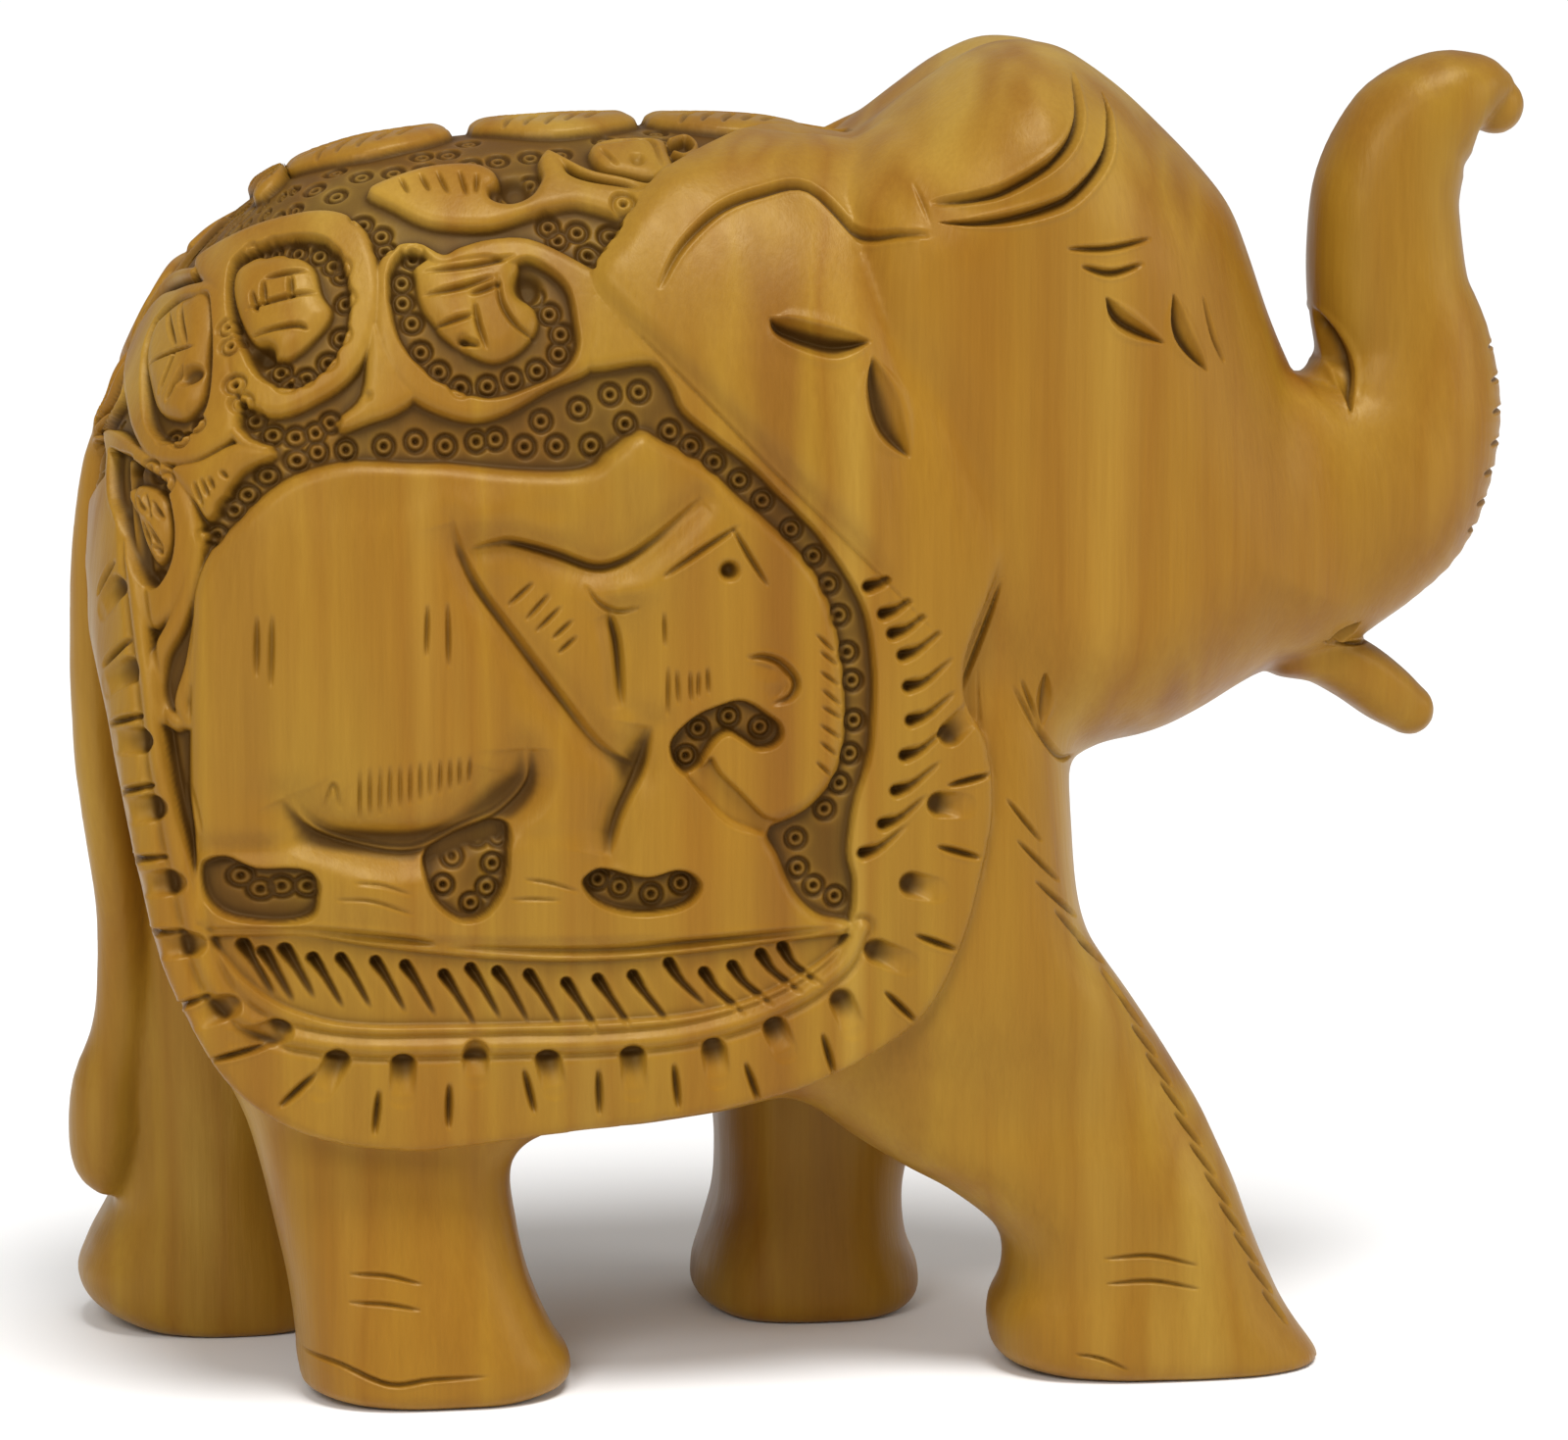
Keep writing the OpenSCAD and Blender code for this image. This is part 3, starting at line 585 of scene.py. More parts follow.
SHAPES = {
    'out2': [(-74.3, 132.9), (-65.6, 131.4), (-59, 130.5), (-53.6, 129.4), (-50.2, 127.9), (-48.3, 125.7),
        (-47.3, 122.4), (-46.9, 119), (-47.3, 115.3), (-48.6, 111.7), (-50.9, 108.9), (-54.2, 107),
        (-57.2, 105.9), (-59.5, 106.7), (-61.3, 108.6), (-62.6, 112.1), (-63.9, 116.4), (-66.1, 122.7),
        (-69.9, 127.3)],
    'hol2': [(-64.5, 126.7), (-62.1, 127.4), (-57.3, 127.1), (-53.6, 126.1), (-51.2, 124.2), (-50, 121.4),
        (-49.6, 117.9), (-50, 114.6), (-51.2, 111.9), (-53.1, 109.7), (-55.8, 108.4), (-57.9, 108.9),
        (-59.6, 110.4), (-61, 113.2), (-62.7, 116.7), (-63.9, 120.8), (-64.5, 124)],
    'mot2': [(-63.5, 124.8), (-61.7, 125.6), (-59.4, 125.3), (-55.8, 124.1), (-53.8, 122.1), (-53.1, 118.8),
        (-52.1, 116.4), (-53.7, 114.1), (-56.8, 111.9), (-58.7, 113.5), (-60.4, 115.2), (-62.2, 118.8),
        (-63.5, 122.5)],
    'out1': [(-71.4, 127.5), (-67.2, 125.2), (-63.4, 121.3), (-62.1, 117), (-61.9, 112), (-61.2, 106.3),
        (-61.4, 103.8), (-63.2, 102.2), (-65.5, 100.8), (-68.2, 100.4), (-71, 101), (-73.8, 104),
        (-77.1, 109.7), (-83.9, 124.6), (-87.2, 135.7), (-86.7, 137.5), (-83.6, 135.9), (-76.4, 130.4)],
    'hol1': [(-67.1, 123.7), (-65.3, 119.1), (-64.3, 114), (-64, 109.4), (-64.4, 106.7), (-65.8, 104.3),
        (-68, 102.9), (-70.2, 103.5), (-72.4, 106.1), (-74.5, 111.6), (-76.8, 118.9), (-78.3, 124.4),
        (-77.8, 127.6), (-74, 127.2), (-70.1, 125.2)],
    'mot1': [(-68, 124.4), (-66, 119.3), (-65.7, 114.5), (-65.3, 109.3), (-66.5, 106.9), (-68, 106.4),
        (-71.1, 108.1), (-74, 113.5), (-77.5, 121.7), (-77.6, 126.6), (-74, 126.7), (-70.6, 125.5)],
    'out3': [(-46.6, 121.2), (-46.9, 119), (-47.3, 114.7), (-46.6, 111), (-44.7, 108), (-41.6, 106),
        (-37.6, 104.9), (-33.9, 105.8), (-29.8, 108), (-25.7, 109.6), (-24.4, 111.9), (-23.8, 115),
        (-24.1, 117.3), (-24.8, 119.3), (-26.7, 120.8), (-31.1, 123), (-35.1, 123.1), (-38.2, 122.4),
        (-40.1, 121.7), (-42.8, 123.3), (-45.3, 122.8)],
    'hol3': [(-43.7, 122.9), (-45.3, 121.6), (-46.1, 119.3), (-46, 116.1), (-45.3, 113.1), (-43.8, 110.8),
        (-41.5, 108.7), (-38.3, 107.1), (-35.1, 106.7), (-31.8, 107.6), (-28.1, 109.2), (-26.4, 111.6),
        (-26.5, 114.6), (-27.1, 117.8), (-28.8, 119.8), (-31.2, 121.1), (-33.2, 120.7), (-35.2, 121.4),
        (-38.3, 121.2), (-40.5, 120.9), (-42.1, 122.4)],
    'mot3': [(-42.5, 121.2), (-37.7, 121.6), (-32.8, 121.4), (-32.6, 119.1), (-32.2, 117.5), (-30.9, 115.4),
        (-31, 113.6), (-32.9, 111.6), (-35.4, 110.7), (-38.1, 111.8), (-40.3, 113.4), (-41.2, 114.7),
        (-42.4, 116.6), (-42.8, 119.1)],
    'corner3': [(-25.2, 118.5), (-23.9, 116.9), (-20.4, 113), (-16.6, 108.3), (-19.1, 110.4),
        (-25.1, 109.8), (-26.2, 111.2), (-25.3, 113.1), (-25.4, 116)],
    'leaf23': [(-47.7, 115.3), (-46.6, 112.6), (-45.1, 109.6), (-43.7, 107.4), (-45.6, 105.9), (-48.4, 105),
        (-51, 104.2), (-51.4, 105), (-49.4, 106.6), (-48.5, 108.5), (-48.2, 111.7)],
    'leaftop': [(-47.2, 130.5), (-44.6, 132), (-40.4, 133.1), (-36.4, 132.8), (-34.4, 131.6),
        (-33.9, 130.1), (-34.9, 129.2), (-34.9, 127.9), (-33.6, 127.1), (-31.8, 127.1), (-30, 128.2),
        (-29, 130.3), (-29, 132.8), (-28, 134), (-26.9, 132.7), (-26.5, 130.6), (-24.4, 129.3),
        (-20.4, 128.4), (-17.9, 127.9), (-19.3, 126.3), (-20.7, 125.3), (-24.7, 126.5), (-26.3, 126.8),
        (-28.8, 126.4), (-31.3, 125.7), (-35, 124.7), (-39.1, 125), (-42, 125.9), (-44.5, 127.8)],
    'eye': [(-23.5, 134.1), (-21.4, 135.6), (-16.2, 135.7), (-15.6, 133.4), (-15.6, 130.7), (-17.3, 129.7),
        (-20.2, 130.4), (-22.7, 131.4)],
    'vine': [(-67.6, 99.8), (-64.6, 100.8), (-61.4, 102.7), (-59, 102.6), (-57.9, 101.6), (-60.3, 100.2),
        (-61.6, 98.5), (-62.7, 96.1), (-63.6, 95.1), (-64.7, 96.6), (-66.1, 97.9)],
    'out0': [(-85, 108.5), (-72.4, 102), (-67.6, 99.4), (-65.4, 96.9), (-64.3, 93.8), (-64.2, 91.6),
        (-65, 89), (-66.5, 85.5), (-68.4, 83.5), (-70.2, 84.3), (-72.1, 88.1), (-75.1, 92.8), (-79.5, 97.4)],
    'hol0': [(-79.8, 102), (-72.1, 100), (-68.5, 98.7), (-67, 96), (-66.4, 92.9), (-66.8, 89.7),
        (-68.2, 87.4), (-69.9, 87.6), (-71.8, 90), (-74.5, 93.7), (-77.4, 96.6)],
    'mot0': [(-73.6, 97), (-70.9, 97.6), (-68.5, 96.5), (-67.4, 94), (-67.5, 91.6), (-68.4, 90.1),
        (-69.6, 91.2), (-71.2, 93.7)],
    'pocket_mouth': [(-17.7, 71), (-16.7, 72.7), (-14.7, 74.3), (-12.6, 75.2), (-10.5, 75.8), (-8.9, 75.4),
        (-7.3, 74.3), (-5.9, 73.1), (-5.7, 71.6), (-6.8, 70.4), (-8.5, 70.2), (-10.1, 71.2), (-11.4, 71.9),
        (-12.6, 71.3), (-13.6, 69.9), (-14.3, 68.5), (-15.9, 67.7), (-17.3, 69)],
    'pocket_strip': [(-14.3, 68.9), (-16.1, 67.9), (-14.3, 65.6), (-11.8, 63), (-9.1, 61.7), (-7.3, 61.3),
        (-5.9, 62.7), (-7.7, 63.6), (-10.1, 66.1), (-12.2, 68.2), (-13.2, 69.9)],
    'pocket_oval': [(-27, 56.8), (-25.8, 58), (-24.1, 58.2), (-20, 57.3), (-17, 58), (-15.1, 57.5),
        (-14.2, 56.1), (-15.1, 54.4), (-17, 53.4), (-20.1, 53), (-23.1, 53.4), (-25.8, 54.7)],
    'pocket_belly': [(-43.1, 60.3), (-38.8, 62.4), (-36.4, 63.4), (-34.3, 63), (-34.2, 60.3), (-34.6, 56.6),
        (-36.6, 53.5), (-39.3, 52.8), (-41.9, 54.5), (-43.2, 57.2)],
    'pocket_rear': [(-63.7, 59.5), (-61.7, 60.3), (-59.2, 59.1), (-56.3, 59.1), (-54.5, 58.4), (-54, 56.4),
        (-54.5, 53.9), (-57.1, 52.9), (-61, 53.4), (-63, 54.8), (-63.8, 57)],
}
RINGS = [
    (-58.1, 103.9), (-56, 103.6), (-54.1, 104), (-52.5, 105), (-50.9, 102.2), (-46.9, 102.5), (-43.6, 102.9),
    (-40.5, 102.4), (-37.3, 102.8), (-35.3, 103), (-32.3, 102.2), (-29, 102.2), (-25.4, 102.2),
    (-26.6, 105.9),
    (-23.3, 107.3), (-20.3, 107.5), (-21.8, 104.3), (-17.2, 103.5), (-15, 102), (-12.6, 100.4), (-10, 98.5),
    (-7.6, 96.3), (-4.6, 93.2), (-2.2, 90.3), (-0.6, 87.3), (0.5, 84), (1.4, 80.1), (1.9, 77.1), (2.1, 72.9),
    (1.7, 69.4), (0.6, 66.3), (-1, 63.6), (-4.1, 60.6), (-3.9, 57.4), (-2.2, 55.5), (0.1, 54.3),
    (-14.4, 72.5),
    (-11.2, 73.7), (-7.9, 72.5), (-15.7, 69.6), (-25, 56.8), (-22.7, 55.9), (-19.4, 55.1), (-16.3, 56.2),
    (-37.5, 61.5), (-35.4, 61.5), (-40.2, 59.5), (-36, 58.7), (-41.2, 56.6), (-36.6, 56.2), (-38.3, 54.6),
    (-60.6, 57.9), (-59, 56.5), (-57.3, 56.8), (-55.2, 56.8), (-55.5, 125.1), (-53.1, 124), (-51.7, 122.4),
    (-50.8, 121.1), (-50.5, 117.7), (-51.1, 113.9), (-52.6, 111.3), (-54.9, 109.8), (-56.5, 109.3),
    (-57.4, 110.8),
    (-58.8, 126.1), (-62, 126.6), (-43.2, 122.1), (-44.5, 119.5), (-44.5, 117.3), (-43.6, 115.1),
    (-42.8, 112),
    (-41, 109.9), (-38.8, 108.2), (-36, 108.3), (-33.4, 109), (-30.8, 109.8), (-28.5, 111.5), (-28.2, 113.5),
    (-29.3, 115.6), (-30.9, 117.5), (-48.3, 127), (-46.4, 125.2), (-46.1, 123.3), (-25.9, 124.2),
    (-22.6, 123.7),
    (-25, 121.7), (-23.7, 120.3), (-21, 126.4), (-28, 123.4), (-28.9, 124.9), (-63.1, 117.1), (-62.4, 114.5),
    (-61.5, 109.6), (-60.7, 107.4), (-59.8, 105.6), (-69, 104), (-67.1, 103.5), (-65.5, 105.3), (-70.4, 99.5),
    (-68.3, 98.3), (-55.9, 101.2), (-53.9, 102), (-58.5, 99.6), (-60.3, 97.6), (-61.5, 96), (-63.1, 93.3),
    (-30.4, 130.4), (-32.7, 128.5),
]
DENTS = [
    (-73.8, 86.5), (-71.2, 78.5), (-69.5, 71.7), (-68.1, 64.8), (-66.6, 57.2), (-65.1, 50.8), (-62.4, 44.1),
    (-58.4, 41.5), (-52.7, 38), (-45.6, 37.2), (-38, 38.4), (-30.3, 37.3), (-21.5, 37.5), (-12.9, 37.9),
    (-6.2, 40),
    (0.8, 42.8), (4.9, 48.3), (8.6, 55.4), (11.6, 63.9), (12.6, 71.8),
]
CUTS = [
    (-75.2, 88.1), (-72.3, 80.7), (-70.6, 73.8), (-69.2, 66.8), (-68.2, 59.6), (-66.6, 52), (-64.4, 44.8),
    (-60.5, 39.5), (-55.8, 35.9), (-48.3, 33.3), (-40.8, 33.8), (-32.5, 35.1), (-25.1, 34.8), (-17, 35.2),
    (-9, 35.2), (-0.9, 38), (6.6, 42.8), (10.3, 49.4), (12.7, 58.9), (13.8, 66.3),
]
HOLES = [
    (-11.4, 89.2, 0.91, 1.7), (-67.1, 112.1, 1.28, 1.3), (-58.9, 112.8, 1.28, 1.3), (-31.6, 118.1, 1.5, 1.3),
    (-38.5, 112.7, 0.64, 0.6), (-48.5, 107.4, 0.53, 0.5), (-18.9, 131.9, 0.75, 0.6), (-32, 129.7, 1.6, 1.3),
    (-13.8, 134, 0.86, 0.8), (-74.4, 99.9, 1.07, 1), (-68.9, 88.5, 0.96, 0.8),
]
RIDGES = [
    (1.5, [(-64.6, 93), (-64.9, 88.8), (-66.2, 84.1), (-67.7, 80.8), (-68.1, 77.5), (-67.3, 74.8),
    (-65.7, 73.9)]),
    (1.28, [(-63.9, 84.6), (-64.5, 79.8), (-65.3, 76.1), (-64.7, 73.9)]),
    (0.86, [(-28.1, 133.6), (-24.3, 130.5), (-20.3, 129.2), (-18.1, 128.2)]),
    (1.07, [(-87.5, 112.9), (-81.1, 117.3), (-87.1, 135.4), (-87.5, 139.8), (-73, 130.2)]),
    (1.07, [(-61.4, 104.2), (-60.1, 102.8), (-58.5, 102.2)]),
    (0.64, [(-15, 135.4), (-13.2, 136.2), (-12.4, 134.3), (-13.7, 132.5), (-14.8, 133.2)]),
]
LEAF_CUTS = [
    [(3.4, 87.1), (5.1, 87.7), (8, 90)],
    [(5, 84.2), (6.6, 84.8), (9.6, 87)],
    [(6, 82.1), (7.7, 82.7), (10.6, 85)],
    [(7.1, 79.8), (8.7, 80.4), (11.7, 82.7)],
    [(7.7, 76.5), (9.4, 77), (12.3, 79.3)],
    [(8, 72.9), (9.7, 73.5), (12.6, 75.8)],
    [(7.3, 69.2), (9, 69.8), (11.9, 72.1)],
    [(6.4, 65.5), (8, 66.1), (11, 68.4)],
    [(5, 62), (6.7, 62.6), (9.6, 64.9)],
    [(2.9, 59), (4.6, 59.6), (7.5, 61.9)],
]
PANEL_CUTS = [
    [(-60.4, 50.8), (-59.5, 48.9), (-58.1, 45.6)],
    [(-58.8, 50), (-57.9, 48.1), (-56.5, 44.8)],
    [(-57.1, 50.3), (-56.2, 48.4), (-54.8, 45.1)],
    [(-54.8, 49.3), (-53.6, 47.4), (-51.8, 44.1)],
    [(-51.9, 49.2), (-50.7, 47.4), (-48.9, 44)],
    [(-48.3, 48.8), (-47.1, 46.9), (-45.3, 43.5)],
    [(-45.2, 48.3), (-44, 46.4), (-42.2, 43)],
    [(-41.2, 47.2), (-40, 45.3), (-38.1, 42)],
    [(-38.4, 47.8), (-37.2, 45.9), (-35.4, 42.5)],
    [(-35.6, 47.4), (-34.3, 45.5), (-32.5, 42.1)],
    [(-32.3, 47), (-31.1, 45.1), (-29.2, 41.7)],
    [(-28.4, 46), (-27.2, 44.1), (-25.2, 40.9)],
    [(-25.1, 46.3), (-23.9, 44.4), (-21.8, 41.3)],
    [(-21.4, 46.6), (-20.2, 44.7), (-17.9, 41.8)],
    [(-17.6, 47.8), (-16.4, 45.9), (-13.9, 43.3)],
    [(-13.9, 46.7), (-12.6, 44.8), (-9.9, 42.4)],
    [(-10.9, 47.3), (-9.6, 45.4), (-6.8, 43.2)],
    [(-7.9, 48.5), (-6.6, 46.6), (-3.7, 44.4)],
    [(-5.6, 49.2), (-4.4, 47.2), (-1.4, 45.1)],
]
SWELLS = [
    (-30.1, 95.8, 8.6, 3.2, 0.5), (-20.9, 100.3, 4.3, 4.3, 0.8), (-39.2, 95.5, 4.9, 2.8, 0.4),
    (-45.7, 96.5, 6.4, 2.8, -0.2), (-30.1, 95.8, 2.8, 1.7, -0.3), (-53.4, 84, 12.8, 15, 0.35),
    (-8.7, 83.2, 7.5, 11.8, 0.25), (-24.9, 77.3, 2.6, 6.4, 0.35), (-30.1, 83.6, 6.4, 5.3, 0.15),
    (-33.2, 88.5, 4.9, 3.2, -0.35), (-21.2, 83.4, 1.9, 4.3, -0.3), (-44.5, 61.8, 11.8, 1.3, -0.5),
    (-60.1, 60.8, 6.4, 1.5, -0.45), (-35.8, 66.3, 4.3, 3.2, -0.5), (-12.8, 58.5, 6.4, 5.3, 0.2),
    (-39.5, 57.1, 2.1, 4.3, 0.1), (-48.8, 56.1, 5.6, 3.9, 0.5), (-28.7, 58.9, 3.2, 6.4, 0.15),
    (-15.8, 91.5, 6.4, 4.3, 0.2), (-22, 87.5, 3.2, 1.5, 0.35), (-3.5, 72.8, 2.6, 7.5, 0.2),
]
SCOOPS = [
    (3.6, 0.4, [(-37.8, 91.9), (-33.7, 92.5), (-29.2, 91.2), (-25.3, 89.8), (-22.2, 90.5), (-18.7, 92.9),
    (-14.4, 96.5)]),
    (3.9, 0.35, [(-40, 94.9), (-37.2, 87.6), (-33.8, 82.9), (-29.3, 76.8), (-25.1, 71.5), (-21.5, 68.8)]),
    (4.7, 0.45, [(-56.8, 66.1), (-54.8, 63.2), (-50.7, 61.4), (-44.4, 60.5), (-39.1, 62.9), (-35.2, 64.6),
    (-32.8, 67.3), (-32.7, 70.5)]),
    (4.7, 0.5, [(-19.4, 72.9), (-20.4, 68.8), (-22.7, 63.9), (-23.9, 59.4)]),
    (3.6, 0.35, [(-23.6, 84.8), (-22.8, 81.4), (-22.5, 75.2)]),
]
BORDER_RIM = [
    (-75.6, 99.8), (-73.2, 95.1), (-71.3, 89.3), (-69.9, 83.4), (-68.6, 77.5), (-67.6, 71.5), (-66.5, 65.5),
    (-65.5, 60.2), (-64.4, 54.3), (-63.6, 49.6), (-62, 45.3), (-59.4, 42.5), (-55.7, 40.7), (-49.8, 39.8),
    (-42.7, 39.6), (-34.5, 39.6), (-26.3, 39.5), (-18, 39.9), (-11.8, 41), (-6.6, 42.7), (-2.3, 44.9),
    (0.9, 47.5),
    (2.7, 51),
]
SHELVES = [
    (3.6, 0.9, [(-14.2, 96.7), (-18.7, 92.9), (-22.2, 90.5), (-25.3, 89.8), (-29.2, 91.2), (-33.7, 92.5),
    (-37.6, 92)]),
    (4.7, 0.85, [(-21.4, 68.8), (-25.1, 71.5), (-29.3, 76.8), (-33.8, 82.9), (-37.2, 87.6), (-39, 91.3),
    (-40, 94.7)]),
    (3.4, 1.7, [(-32.4, 70.9), (-32.6, 67.4), (-35.2, 64.4), (-39.1, 62.7), (-44.4, 60.5), (-50.7, 61.4),
    (-54.8, 63.2), (-56.8, 66.3)]),
    (6.8, 1.1, [(-56.8, 66.3), (-54.8, 63.2), (-50.7, 61.4), (-44.4, 60.5), (-39.1, 62.7), (-35.2, 64.4),
    (-32.6, 67.4), (-32.4, 70.9)]),
    (6.4, 1.1, [(-23.9, 59.4), (-22.7, 63.9), (-20.4, 68.8), (-19.4, 72.9)]),
    (2.1, 0.6, [(-7, 75.1), (-5.6, 76.1), (-5, 77.5), (-5.9, 79), (-9.3, 80.1)]),
    (2.8, 0.7, [(-22.4, 75), (-22.8, 81.4), (-23.6, 84.9)]),
]
